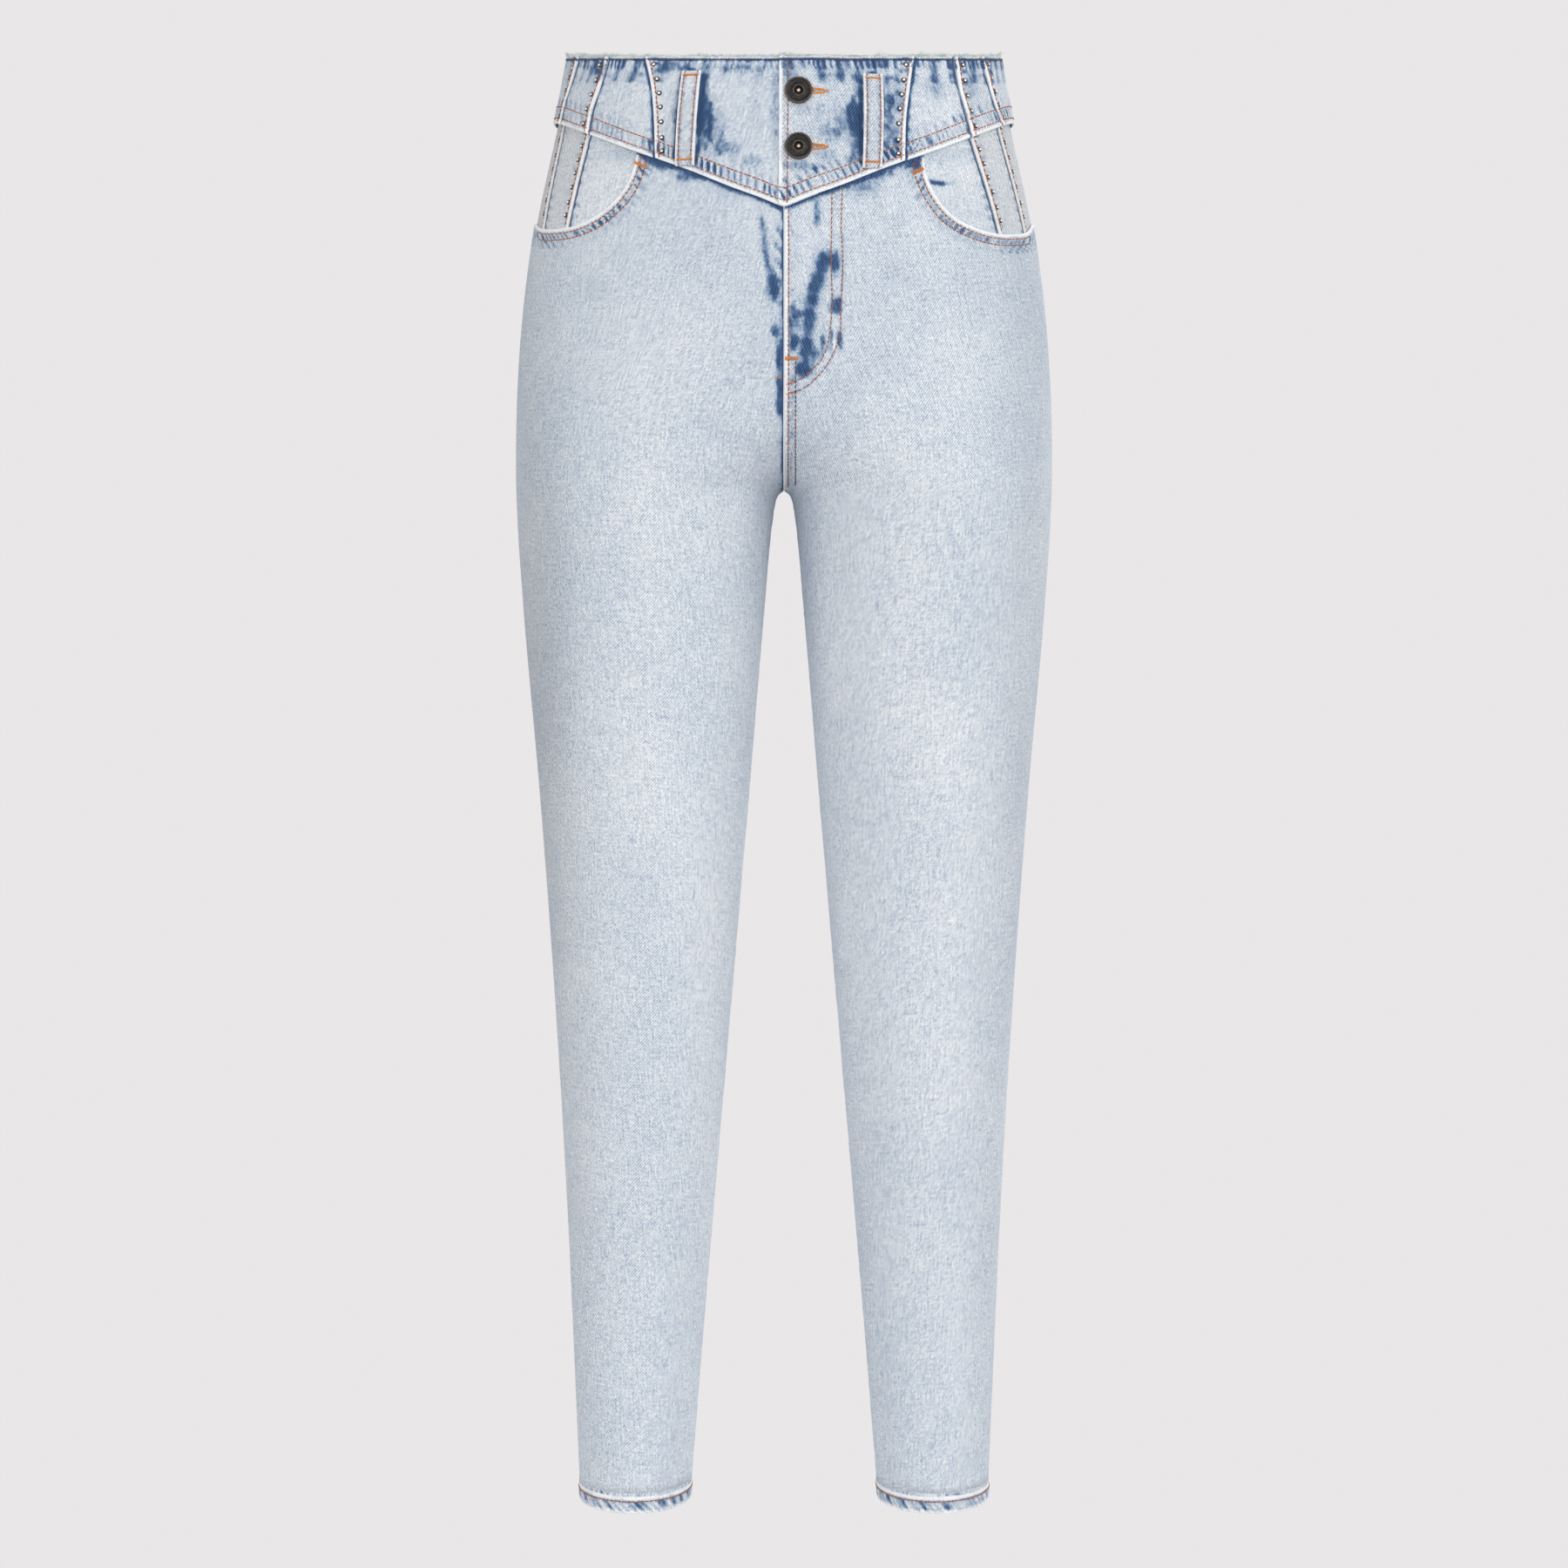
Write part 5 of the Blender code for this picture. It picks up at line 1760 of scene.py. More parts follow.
@dataclass(frozen=True)
class FrontEdge:
    """A leg's inner edge: the fly's finish above the fork, and a plain sewn inseam below it."""

    fly: EdgeFinish
    rounded: bool = True

    def mark(self, away: np.ndarray, along: np.ndarray, marks: Marks) -> None:
        """Adds each finish on its own stretch, with a soft change at the fork.

        Args:
            away: Distances from the edge.
            along: Lengths down the edge.
            marks: What to add to.
        """
        top = along[-1, 0] - (HEM_DROP - FORK_DROP)
        share = 1 - step_up(along, top - 12, top + 4)
        for finish, part in ((self.fly, share), (SEWN, 1 - share)):
            own = Marks.blank(away.shape)
            finish.mark(away, along, own)
            for name in ("lift", "wear", "indigo"):
                getattr(marks, name)[...] += getattr(own, name) * part


def run_down(turn: np.ndarray, z: np.ndarray, fork_turns: np.ndarray, rows: int) -> tuple:
    """Adds a leg's rows from the fork to the hem, closer together near the fork."""
    share = (np.arange(1, rows + 1) / rows)[:, None] ** 1.2
    end = FORM.hem_z(fork_turns, HEM_DEPTH + 0.05)
    z_down = -FORK_DROP + (end + FORK_DROP) * share
    turn_down = np.repeat(fork_turns[None, :], rows, axis=0)
    return np.concatenate([turn, turn_down]), np.concatenate([z, z_down])


def drawn_in(
    turn: np.ndarray, z: np.ndarray, first: float = HALF_SEAM, last: float = HALF_SEAM,
) -> np.ndarray:
    """Rows squeezed evenly so that their ends lie this far inside their seams."""
    start, end = turn[:, :1], turn[:, -1:]
    new_start = FORM.stepped(start, z[:, :1], first)
    new_end = FORM.stepped(end, z[:, -1:], -last)
    return new_start + (turn - start) / (end - start) * (new_end - new_start)


@dataclass
class Legs:
    """The leg panels, the hems and the pocket facings of both sides."""

    back_pitch: float = 2.2
    back_fan_rows: int = 86
    back_down_rows: int = 120
    hem_pitch: float = 1.2
    hem_girth: float = 290.0
    facing_rows: int = 38

    def back_leg(self, side: Side) -> Shell:
        """A back panel, from the side seam round to the centre back seam and the inseam."""
        columns = 3 + graded(BACK_ARC, self.back_pitch)
        turn = FORM.yoke_turns(side, columns, [LEG_TUCK, 1.0])
        z = np.stack([FORM.yoke_z(turn[0], LEG_TUCK), FORM.yoke_end_z(turn[1])])
        share = np.linspace(0, 1, 5)[:-1, None]
        top = [row[0] * (1 - share) + row[1] * share for row in (turn, z)]
        share = np.linspace(0, 1, self.back_fan_rows)[:, None]
        fan = [np.repeat(turn[1:], len(share), axis=0), z[1] + (-FORK_DROP - z[1]) * share]
        rows = (np.concatenate([a, b]) for a, b in zip(top, fan))
        turn, z = run_down(*rows, turn[1], self.back_down_rows)
        turn = drawn_in(turn, z)
        felled = FELLED if side is Side.LEFT else SEWN
        edges = {Edge.FRONT: SEWN, Edge.BACK: FrontEdge(felled), Edge.TOP: PLAIN, Edge.BOTTOM: PLAIN}
        return Shell(f"back_leg_{side.label}", side, turn, z, leg_lift(turn, z), edges=edges,
                     marks_on=LEG_MARKS, apart=True, grain=math.radians(-4 * side.value))

    def hem(self, side: Side) -> Shell:
        """The turned-up lower edge, doubled and roped, flush with the leg above it."""
        turn = np.linspace(-1, 1, round(self.hem_girth / self.hem_pitch) + 1)[:-1]
        above = HEM_DEPTH * (1 - graded(HEM_DEPTH, 0.75))
        z = np.stack([FORM.hem_z(turn, a) for a in above])
        turn = np.repeat(turn[None, :], len(z), axis=0)
        lift = (HEM_WALL - WALL) / 2 * step_up(HEM_DEPTH - above, 0, 4.5)[:, None] * np.ones(turn.shape)
        roped = EdgeFinish(
            ridge=-0.25, ridge_at=7.8, wear=0.8, wear_at=0.6, wear_width=1.5, indigo=0.5, indigo_at=7.6,
            indigo_width=0.8, puckers=(Puckers(0.8, 7.2, 5.4, 0.8, 0.4, 0.45, 0.9, 85),
                                       Puckers(2.6, 7.4, 14.0, 0.3, 0.75, 0.3, 0.5, 87)),
        )
        above_row = EdgeFinish(rounded=False, wear=1.0, wear_at=3.2, wear_width=1.4,
                               puckers=(Puckers(0.6, 2.2, 5.0, 0.2, 0.8, seed=89),))
        return Shell(f"hem_{side.label}", side, turn, z, lift, wall=HEM_WALL, grey=0.2,
                     edges={Edge.BOTTOM: roped, Edge.TOP: above_row}, closed=True)

    def facing(self, leg: FrontLeg) -> list:
        """The three panels of a pocket facing, behind the mouth of a front leg panel.

        Args:
            leg: The front leg panel.

        Returns:
            Their shells, from the front to the side.
        """
        made = []
        turn_top = FORM.yoke_turns(leg.side, leg.mouth_columns, [FACING_TUCK])[0]
        z_top = FORM.yoke_z(turn_top, FACING_TUCK)
        share = np.linspace(0, 1, self.facing_rows)[:-1, None]
        turn_mouth, z_mouth = leg.turn_top[0, leg.first:], leg.z_top[0, leg.first:]
        above = (turn_top * (1 - share) + turn_mouth * share, z_top * (1 - share) + z_mouth * share)
        edge = leg.below(np.linspace(0, 1, 6)[:-1], slice(leg.first, None))
        fan = leg.fan(1 - (1 - np.linspace(0, 1, 7) / 8) ** 2, slice(leg.first, None))
        turn, z = (np.concatenate(parts) for parts in zip(above, edge, fan))
        for (name, grey), a, b in zip(FACING_GREY.items(), FACING_SEAMS, FACING_SEAMS[1:]):
            first, last = (int(np.argmin(np.abs(leg.mouth - leg.mouth_run[k]))) for k in (a, b))
            part_turn, part_z = turn[:, first:last + 1], z[:, first:last + 1]
            part_turn, part_z = self._edged(part_turn, part_z)
            part_turn = drawn_in(part_turn, part_z, HALF_SEAM if first else 0.0)
            edges = {Edge.FRONT: STUDDED if first else PLAIN, Edge.BACK: BUTTED, Edge.TOP: PLAIN,
                     Edge.BOTTOM: PLAIN}
            lift = np.full(part_turn.shape, -(WALL + GAP))
            made.append(Shell(f"pocket_facing_{name}_{leg.side.label}", leg.side, part_turn, part_z, lift,
                              edges=edges, marks_on=FACING_MARKS, grey=grey))
        return made

    def _edged(self, turn: np.ndarray, z: np.ndarray) -> tuple[np.ndarray, np.ndarray]:
        """The same rows with columns added close to both ends, for the rounded edges."""
        count = turn.shape[1]
        near = np.array([0, 0.15, 0.35, 0.7])
        column = np.concatenate([near, np.arange(1, count - 1), (count - 1 - near)[::-1]])
        i = np.clip(np.floor(column).astype(int), 0, count - 2)
        t = column - i
        return turn[:, i] * (1 - t) + turn[:, i + 1] * t, z[:, i] * (1 - t) + z[:, i + 1] * t


@dataclass
class Yoke:
    """The corset-like waist of both sides, with its studded seams."""

    pitch: float = 1.15
    back_pitch: float = 1.6

    def panel(self, name: str, side: Side, first: float, last: float, width: float, height: float) -> Shell:
        """A panel between two yoke columns.

        Args:
            name: The piece's name.
            side: Which half.
            first: Its front column.
            last: Its back column.
            width: About how wide it is.
            height: About how tall it is.

        Returns:
            Its shell.
        """
        pitch = self.back_pitch if last > 3 else self.pitch
        columns = first + (last - first) * graded(width, pitch)
        if last > 3:
            before = first + graded(SIDE_ARC, pitch)[:-3] * (3 - first)
            columns = np.concatenate([before, 3 + graded(BACK_ARC, pitch)[3:]])
        shares = graded(height, 1.15)
        turn = FORM.yoke_turns(side, columns, shares)
        z = FORM.yoke_z(turn, shares[:, None])
        turn = drawn_in(turn, z)
        fronts = {0: BUTTED, 1: STUDDED, 2: STUDDED}
        backs = {0: STUDDED, 1: BUTTED, 2: BUTTED, 4: SEWN}
        edges = {Edge.TOP: RAW, Edge.BOTTOM: YOKE_END, Edge.FRONT: fronts[int(first)],
                 Edge.BACK: backs[int(last)]}
        return Shell(name, side, turn, z, yoke_lift(turn, z), edges=edges, marks_on=YOKE_MARKS)

    def centre(self, side: Side, past: float, lift_of: Callable) -> Shell:
        """A centre panel, which runs on past the centre front.

        Args:
            side: Which half.
            past: How far past.
            lift_of: Its lift, as a function of turn and z.

        Returns:
            Its shell.
        """
        distance = graded(CENTRE_ARC + past, self.pitch) * (CENTRE_ARC + past) - past
        pace = FORM.pace(np.array(-1.0), np.array(-40.0))
        shares = graded(95, 1.15)
        turn = FORM.yoke_turns(side, -1 + np.maximum(distance, 0) / CENTRE_ARC, shares)
        turn = turn + np.minimum(distance, 0) / pace
        z = FORM.yoke_z(turn, shares[:, None])
        turn = drawn_in(turn, z, 0.0)
        under = side is Side.RIGHT
        edges = {Edge.TOP: RAW, Edge.BOTTOM: YOKE_END, Edge.FRONT: PLAIN if under else FLY_FOLD,
                 Edge.BACK: STUDDED}
        shell = Shell(f"yoke_centre_{side.label}", side, turn, z, lift_of(turn, z), edges=edges,
                      marks_on=YOKE_MARKS)
        if not under:
            shell.keep = self._slits(shell)
        return shell

    def _slits(self, shell: Shell) -> np.ndarray:
        """Which of the panel's quads are left when the two buttonholes are cut: an eyelet and a slit."""
        across = (shell.places.across[:-1, :-1] + shell.places.across[1:, 1:]) / 2
        drop = (shell.places.drop[:-1, :-1] + shell.places.drop[1:, 1:]) / 2
        keep = np.ones(across.shape, bool)
        for middle in BUTTON_DROPS:
            x, y = across - BUTTON_ACROSS, drop - middle
            half = SLIT_HALF * np.clip((SLIT_REACH + 2.0 - x) / 6, 0, 1)
            keep &= ~((np.hypot(x, y) < 2.6) | ((x > 0) & (x < SLIT_REACH) & (np.abs(y) < half)))
        return keep


@dataclass
class BeltLoops:
    """The strips that hold a belt, each sewn down at both ends and standing off between them."""

    pitch: float = 1.1
    pitch_across: float = 1.0

    @property
    def offsets(self) -> np.ndarray:
        """Distances of its columns from its middle line."""
        return (graded(LOOP_WIDTH, self.pitch_across) - 0.5) * LOOP_WIDTH

    def lift(self, share: np.ndarray, columns: int) -> np.ndarray:
        """How far out its outer face is: on the yoke at both ends, and bowed out between them."""
        bow = LOOP_BOW * np.sin(math.pi * share) ** 0.6
        return (WALL + GAP + GAP + LOOP_WALL + bow)[:, None] * np.ones((len(share), columns))

    def strip(self, name: str, side: Side, turn: np.ndarray, z: np.ndarray) -> Shell:
        """A loop along a line of places.

        Args:
            name: The piece's name.
            side: Which half.
            turn: The turns of its middle line, from top to bottom.
            z: The heights of its middle line.

        Returns:
            Its shell.
        """
        grid = turn[:, None] + self.offsets[None, :] / FORM.pace(turn, z)[:, None]
        lift = self.lift(np.linspace(0, 1, len(turn)), grid.shape[1])
        edges = {Edge.FRONT: LOOP_EDGE, Edge.BACK: LOOP_EDGE, Edge.TOP: SHORT_END, Edge.BOTTOM: SHORT_END}
        z = np.repeat(z[:, None], grid.shape[1], axis=1)
        return Shell(name, side, grid, z, lift, wall=LOOP_WALL, edges=edges, grey=0.25)

    def front(self, side: Side) -> Shell:
        """A front loop, at the place that the elevation shows."""
        (x0, d0), (x1, d1) = FRONT_LOOPS[side]
        turns, heights = FORM.locate(np.array([x0, x1]), np.array([d0, d1]))
        share = graded(LOOP_LENGTH, self.pitch)
        turn, z = (row[0] + (row[1] - row[0]) * share for row in (turns, heights))
        return self.strip(f"belt_loop_front_{side.label}", side, turn, z)

    def back(self, side: Side) -> Shell:
        """A loop at the back of one side."""
        share = graded(LOOP_LENGTH, self.pitch)
        top = float(FORM.waist_z(np.array([BACK_LOOP_TURN]))[0]) - BACK_LOOP_TOP
        turn = np.full(len(share), BACK_LOOP_TURN)
        return self.strip(f"belt_loop_back_{side.label}", side, turn, top - LOOP_LENGTH * share)


@dataclass
class CentreBackLoop:
    """The loop over the centre back seam, laid out from two mirrored halves."""

    name: str = "belt_loop_centre_back"

    def build(self, finish: bpy.types.Material, loops: BeltLoops) -> tuple[bpy.types.Object, Shell]:
        """Makes the loop from a half on the wearer's left and its mirror image.

        Args:
            finish: The cloth's material.
            loops: The other loops, which have the same strip.

        Returns:
            The piece, and its shell for sewing.
        """
        share = graded(LOOP_LENGTH, loops.pitch)
        z = float(FORM.waist_z(np.array([1.0]))[0]) - BACK_LOOP_TOP - LOOP_LENGTH * share
        half = np.append(loops.offsets[loops.offsets < -0.3], 0.0)
        grid = 1 + half[None, :] / FORM.pace(np.ones(len(share)), z)[:, None]
        z = np.repeat(z[:, None], grid.shape[1], axis=1)
        lift = loops.lift(share, grid.shape[1])
        edges = {Edge.FRONT: LOOP_EDGE, Edge.TOP: SHORT_END, Edge.BOTTOM: SHORT_END, Edge.BACK: PLAIN}
        shell = Shell(self.name, Side.LEFT, grid, z, lift, wall=LOOP_WALL, edges=edges, grey=0.25)
        doubled = (np.concatenate([a, a[:, -2::-1]], axis=1) for a in (grid, z, lift))
        wide = Shell(self.name, Side.LEFT, *doubled, wall=LOOP_WALL, grey=0.25)
        for name in ("outer", "inner", "out"):
            points = getattr(shell, name)
            points[:, -1, 0] = 0.0
            setattr(wide, name, np.concatenate([points, points[:, -2::-1] * np.array([-1, 1, 1])], axis=1))
        for name in ("lift", "wear", "indigo", "grey"):
            own = getattr(shell.marks, name)
            setattr(wide.marks, name, np.concatenate([own, own[:, -2::-1]], axis=1))
        over = np.concatenate([shell.over, 2 * shell.over[:, -1:] - shell.over[:, -2::-1]], axis=1)
        wide.over, wide.down = over, np.concatenate([shell.down, shell.down[:, -2::-1]], axis=1)
        wide.places.girth = over
        wide.size = (LOOP_WIDTH * MM, LOOP_LENGTH * MM)
        return wide.build(finish), wide


@dataclass
class Fastening:
    """The two buttons, with plain rings and no lettering, and the stitched keyholes beside them."""

    profile: tuple = (
        (0, 2.1), (0.5, 2.1), (0.9, 1.9), (1.3, 1.2), (1.5, 0.5), (2.0, 0.45), (2.3, 0.9), (2.6, 1.9),
        (2.9, 2.35), (3.4, 2.5), (3.8, 2.3), (4.1, 2.15), (6.6, 2.2), (7.0, 2.35), (7.3, 2.75), (7.8, 2.95),
        (8.25, 2.8), (8.5, 2.35), (8.5, 1.7), (8.2, 1.0), (7.4, 0.55), (5.0, 0.5), (2.1, 0.5), (2.1, -1.2),
        (0, -1.2),
    )
    steps: int = 56

    def seat(self, drop: float) -> tuple[np.ndarray, np.ndarray]:
        """The middle of a button on the overlapping edge's outer face, and the way it faces."""
        path = front_path(np.array([BUTTON_ACROSS]), np.array([drop]), overlap_lift, ())
        return path.points, path.normals

    def button(self, name: str, drop: float, finish: bpy.types.Material) -> bpy.types.Object:
        """A turned tack button.

        Args:
            name: The piece's name.
            drop: How far below the waist it is.
            finish: Its metal.

        Returns:
            The piece.
        """
        points, faces = turned_points(self.profile, self.steps)
        radius = np.hypot(points[:, 0], points[:, 1])
        rim = np.exp(-(((radius - 8.0) / 0.5) ** 2)) * 0.14
        ring = np.exp(-(((radius - 3.2) / 0.4) ** 2)) * 0.12
        pin = (radius < 1.4) * 1.1
        worn = np.clip(rim + ring + pin, 0, 1)
        points, faces = placed(points, faces, *self.seat(drop))
        return made_piece(name, points, faces, finish, values={"rubbed": worn})

    def sew(self, sewing: Sewing) -> None:
        """Adds the stitching of the keyholes: close stitches across both lips, and a bar at the tip.

        Args:
            sewing: Where the stitches go.
        """
        for drop in BUTTON_DROPS:
            x = np.arange(3.0, SLIT_REACH, 0.5)
            for side in (-1, 1):
                inner = side * np.interp(x, [3, 9, SLIT_REACH], [1.9, 0.9, 0.2])
                outer = inner + side * np.interp(x, [3, SLIT_REACH], [1.5, 1.3])
                starts = front_path(BUTTON_ACROSS + x, drop + inner, overlap_lift, YOKE_MARKS, 0.12)
                ends = front_path(BUTTON_ACROSS + x - 0.15, drop + outer, overlap_lift, YOKE_MARKS, 0.05)
                sewing.add(Thread.ORANGE, starts.points, ends.points, starts.normals, 0.4)
            tip = BUTTON_ACROSS + SLIT_REACH + np.array([-0.6, 0.6, 1.8])
            bar = front_path(tip, np.full(3, drop), overlap_lift, YOKE_MARKS, 0.15)
            sewing.bar_tack(Thread.ORANGE, bar, 2.2)


@dataclass
class FrayedEdge:
    """The raw top edge: loose warp ends that stand up in a ragged fringe, and weft threads along it."""

    fibres: int = 5000
    strands: int = 5
    seed: int = 17

    def _edge(self, shells: list, height: float) -> Path:
        """The yoke's top edge all round, through the middle of the cloth.

        Args:
            shells: The yoke's shells in order round the waist.
            height: How far above the cloth.

        Returns:
            The line.
        """
        points, normals = [], []
        for shell in shells:
            middle = (shell.outer[0] + shell.inner[0]) / 2 + np.array([0, 0, height])
            order = slice(None) if shell.side is Side.LEFT else slice(None, None, -1)
            points.append(middle[order])
            normals.append(shell.out[0][order])
        return Path(np.concatenate(points), np.concatenate(normals))

    def build(self, shells: list, finish: bpy.types.Material) -> bpy.types.Object:
        """Makes the fringe: three-sided rods of four rings, each bent sideways and outwards as it rises.

        Args:
            shells: The yoke's shells in order round the waist.
            finish: The fringe's material.

        Returns:
            The piece.
        """
        chance = np.random.default_rng(self.seed)
        edge = self._edge(shells, -1.2)
        at = chance.random(self.fibres) * edge.length
        root, out = edge.at(at)
        along = unit(np.cross(np.array([0.0, 0.0, 1.0]), out))
        root = root + out * chance.uniform(-0.55, 0.55, (self.fibres, 1))
        tall = 2.0 + 2.3 * wander(at / 7, 5) * chance.random(self.fibres) ** 0.8
        lean = chance.normal(0, 0.35, self.fibres)
        bend = chance.normal(0, 0.5, self.fibres)
        fall = chance.normal(0.1, 0.28, self.fibres)
        t = np.linspace(0, 1, 4)[None, :, None]
        up = np.array([0.0, 0.0, 1.0])
        length = tall[:, None, None]
        sideways = (lean[:, None, None] * t + bend[:, None, None] * t**2) * length
        spine = root[:, None] + up * (t * length) + along[:, None] * sideways
        spine = spine + out[:, None] * (fall[:, None, None] * t**2 * length)
        narrowing = np.array([1.0, 0.9, 0.75, 0.45])[None, :, None]
        thick = chance.uniform(0.14, 0.27, (self.fibres, 1, 1)) * narrowing
        spoke = spokes(np.radians([90, 210, 330]), along, out)
        points = (spine[:, :, None] + spoke[:, None] * thick[..., None]).reshape(-1, 3)
        sides, caps = rod_faces(self.fibres, 4, 3)
        more_points, more_faces = self._strands(edge, chance)
        return made_piece("frayed_top_edge", np.concatenate([points, more_points]),
                          [np.concatenate([sides, more_faces + len(points)]), caps], finish)

    def _strands(self, edge: Path, chance: np.random.Generator) -> tuple[np.ndarray, np.ndarray]:
        """Weft threads that wander along the edge, as short four-sided rods end to end."""
        all_points, all_faces, start = [], [], 0
        for number in range(self.strands):
            count = int(edge.length / 2.2)
            s = np.linspace(0, edge.length, count)
            middle, out = edge.at(s)
            rise = 0.6 + 1.7 * wander(s / 6 + 30 * number, 60 + number)
            shift = (wander(s / 5 + 11 * number, 70 + number) - 0.5) * 1.3
            middle = middle + out * shift[:, None] + np.array([0, 0, 1.0]) * rise[:, None]
            way = unit(np.gradient(middle, axis=0))
            cross = unit(np.cross(out, way))
            radius = 0.2 + 0.12 * chance.random((count, 1))
            points = (middle[:, None] + radius[:, None] * spokes(CORNERS, cross, out)).reshape(-1, 3)
            all_points.append(points)
            all_faces.append(rod_faces(1, count, 4)[0] + start)
            start += len(points)
        return np.concatenate(all_points), np.concatenate(all_faces)


@dataclass
class Studs:
    """The small domed studs beside the seams of the yoke and the facings."""

    profile: tuple = (
        (0, 1.15), (0.5, 1.08), (1.0, 0.84), (1.45, 0.42), (1.7, 0.08), (1.75, -0.15), (1.3, -0.35),
        (0, -0.35),
    )
    sides: int = 10

    def build(self, paths: list, finish: bpy.types.Material) -> bpy.types.Object:
        """Sets the studs at their pitch along each line.

        Args:
            paths: The lines.
            finish: Their metal.

        Returns:
            The piece.
        """
        points, faces = turned_points(self.profile, self.sides)
        at, out = [], []
        for path in paths:
            count = max(1, round(path.length / STUD_PITCH))
            uneven = np.random.default_rng(count).uniform(-0.5, 0.5, count)
            place, way = path.at((np.arange(count) + 0.5) * path.length / count + uneven)
            at.append(place)
            out.append(way)
        at, out = np.concatenate(at), np.concatenate(out)
        every, all_faces = placed(points, faces, at, out)
        # painted highlight: the top of each dome takes the bright metal colour
        rubbed = np.tile(0.85 * step_up(points[:, 2], 0.75, 1.15), len(at))
        log.info("studs: %d", len(at))
        return made_piece("studs", every, all_faces, finish, values={"rubbed": rubbed})


class Jeans:
    def __init__(self) -> None:
        """Makes the finishes."""
        self.denim = Denim("light_washed_denim").make()
        self.facing_denim = Denim("facing_denim", wash=0.84, twill=0.11, cloud=0.2).make()
        self.metal = Metal("gunmetal", (34, 34, 34), (190, 168, 152), 0.38).make()
        # its bright colour is the painted highlight on the studs' tops
        self.stud_metal = Metal("stud_metal", (62, 58, 56), (222, 220, 218), 0.24).make()
        self.threads = {
            Thread.RUST: ThreadFinish("rust_thread", (146, 76, 28), (176, 104, 52)).make(),
            Thread.ORANGE: ThreadFinish("orange_thread", (214, 118, 34), (226, 150, 74)).make(),
            Thread.NAVY: ThreadFinish("navy_thread", (34, 36, 62), (118, 72, 52)).make(),
        }
        self.fringe = ThreadFinish("frayed_cotton", (196, 210, 206), (236, 240, 236)).make()
        self.sewing = Sewing()
        self.studs: list = []
        self.shells: dict = {}
        self.front: dict = {}

    def add_cloth(self, shell: Shell, finish: bpy.types.Material) -> None:
        """Args:
            shell: The piece.
            finish: Its material.
        """
        piece = shell.build(finish)
        self.shells[shell.name] = shell
        self.declare(piece, shell)

    def declare(self, piece: bpy.types.Object, shell: Shell) -> None:
        """Attaches the piece to the root, and hides the model's part that it replaces."""
        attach(piece, "root")
        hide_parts(shell.name)

    def build_cloth(self) -> None:
        """Builds the yoke, the legs, the facings, the hems and the belt loops."""
        yoke, legs, loops = Yoke(), Legs(), BeltLoops()
        for side in Side:
            lift_of = overlap_lift if side is Side.LEFT else yoke_lift
            past = FLY_EDGE if side is Side.LEFT else STAND_REACH
            self.add_cloth(yoke.centre(side, past, lift_of), self.denim)
            label = side.label
            for part, first, last, width, height in YOKE_PANELS:
                panel = yoke.panel(f"yoke_{part}_{label}", side, first, last, width, height)
                self.add_cloth(panel, self.denim)
        for side in Side:
            label = side.label
            leg = FrontLeg(side)
            self.add_cloth(leg.shell(), self.denim)
            self.front[side] = leg
            self.add_cloth(legs.back_leg(side), self.denim)
            self.add_cloth(legs.hem(side), self.denim)
            for shell in legs.facing(leg):
                self.add_cloth(shell, self.facing_denim)
            self.add_cloth(loops.front(side), self.denim)
            self.add_cloth(loops.back(side), self.denim)
        piece, shell = CentreBackLoop().build(self.denim, loops)
        self.shells[shell.name] = shell
        self.declare(piece, shell)

    def sew_yoke(self) -> None:
        """Sews the yoke: rows along its lower edge, one under the raw edge, and the studded seams."""
        for name, shell in self.shells.items():
            if not name.startswith("yoke"):
                continue
            start, end = (0.245, 1.0) if name == "yoke_centre_right" else (0.0, 1.0)
            for distance in YOKE_ROWS:
                self.sewing.run(Thread.RUST, shell.path(Edge.BOTTOM, distance, start, end))
            self.sewing.run(Thread.NAVY, shell.path(Edge.TOP, RAW_EDGE_ROW, start, end), 2.4, 0.42)
            studded = self._studded_edge(name)
            if studded:
                row = shell.path(studded, STUDDED_ROW, 0.03, 0.97)
                self.sewing.run(Thread.RUST, row, 3.1)
                self.studs.append(shell.path(studded, STUD_ROW, 0.04, 0.96))
        fly = self.shells["yoke_centre_left"].path(Edge.FRONT, FLY_EDGE_ROW, 0.05, 0.96)
        self.sewing.run(Thread.RUST, fly, 3.0)

    def _studded_edge(self, name: str) -> Edge | None:
        """The edge that carries studs: the centre panels' back edge, and the others' front edge."""
        if "centre" in name:
            return Edge.BACK
        return Edge.FRONT if name.split("_")[1] in ("side", "back") else None

    def sew_legs(self) -> None:
        """Sews the fly, the pocket mouths, the facings' seams, the seat seam and the hems."""
        for side, leg in self.front.items():
            for distance in MOUTH_ROWS:
                self.sewing.run(Thread.RUST, leg.beside_mouth(distance))
            self._mouth_tack(side)
            for name in ("middle", "side"):
                facing = self.shells[f"pocket_facing_{name}_{side.label}"]
                self.sewing.run(Thread.RUST, facing.path(Edge.FRONT, STUDDED_ROW, 0.03, 0.76), 3.1)
                self.studs.append(facing.path(Edge.FRONT, FACING_STUD_ROW, 0.05, 0.72))
            hem = self.shells[f"hem_{side.label}"]
            self.sewing.run(Thread.RUST, hem.path(Edge.BOTTOM, HEM_ROW))
        seat = self.shells["back_leg_left"]
        for distance in SEAT_ROWS:
            self.sewing.run(Thread.RUST, seat.path(Edge.BACK, distance, 0.03, 0.40))
        self._sew_fly()

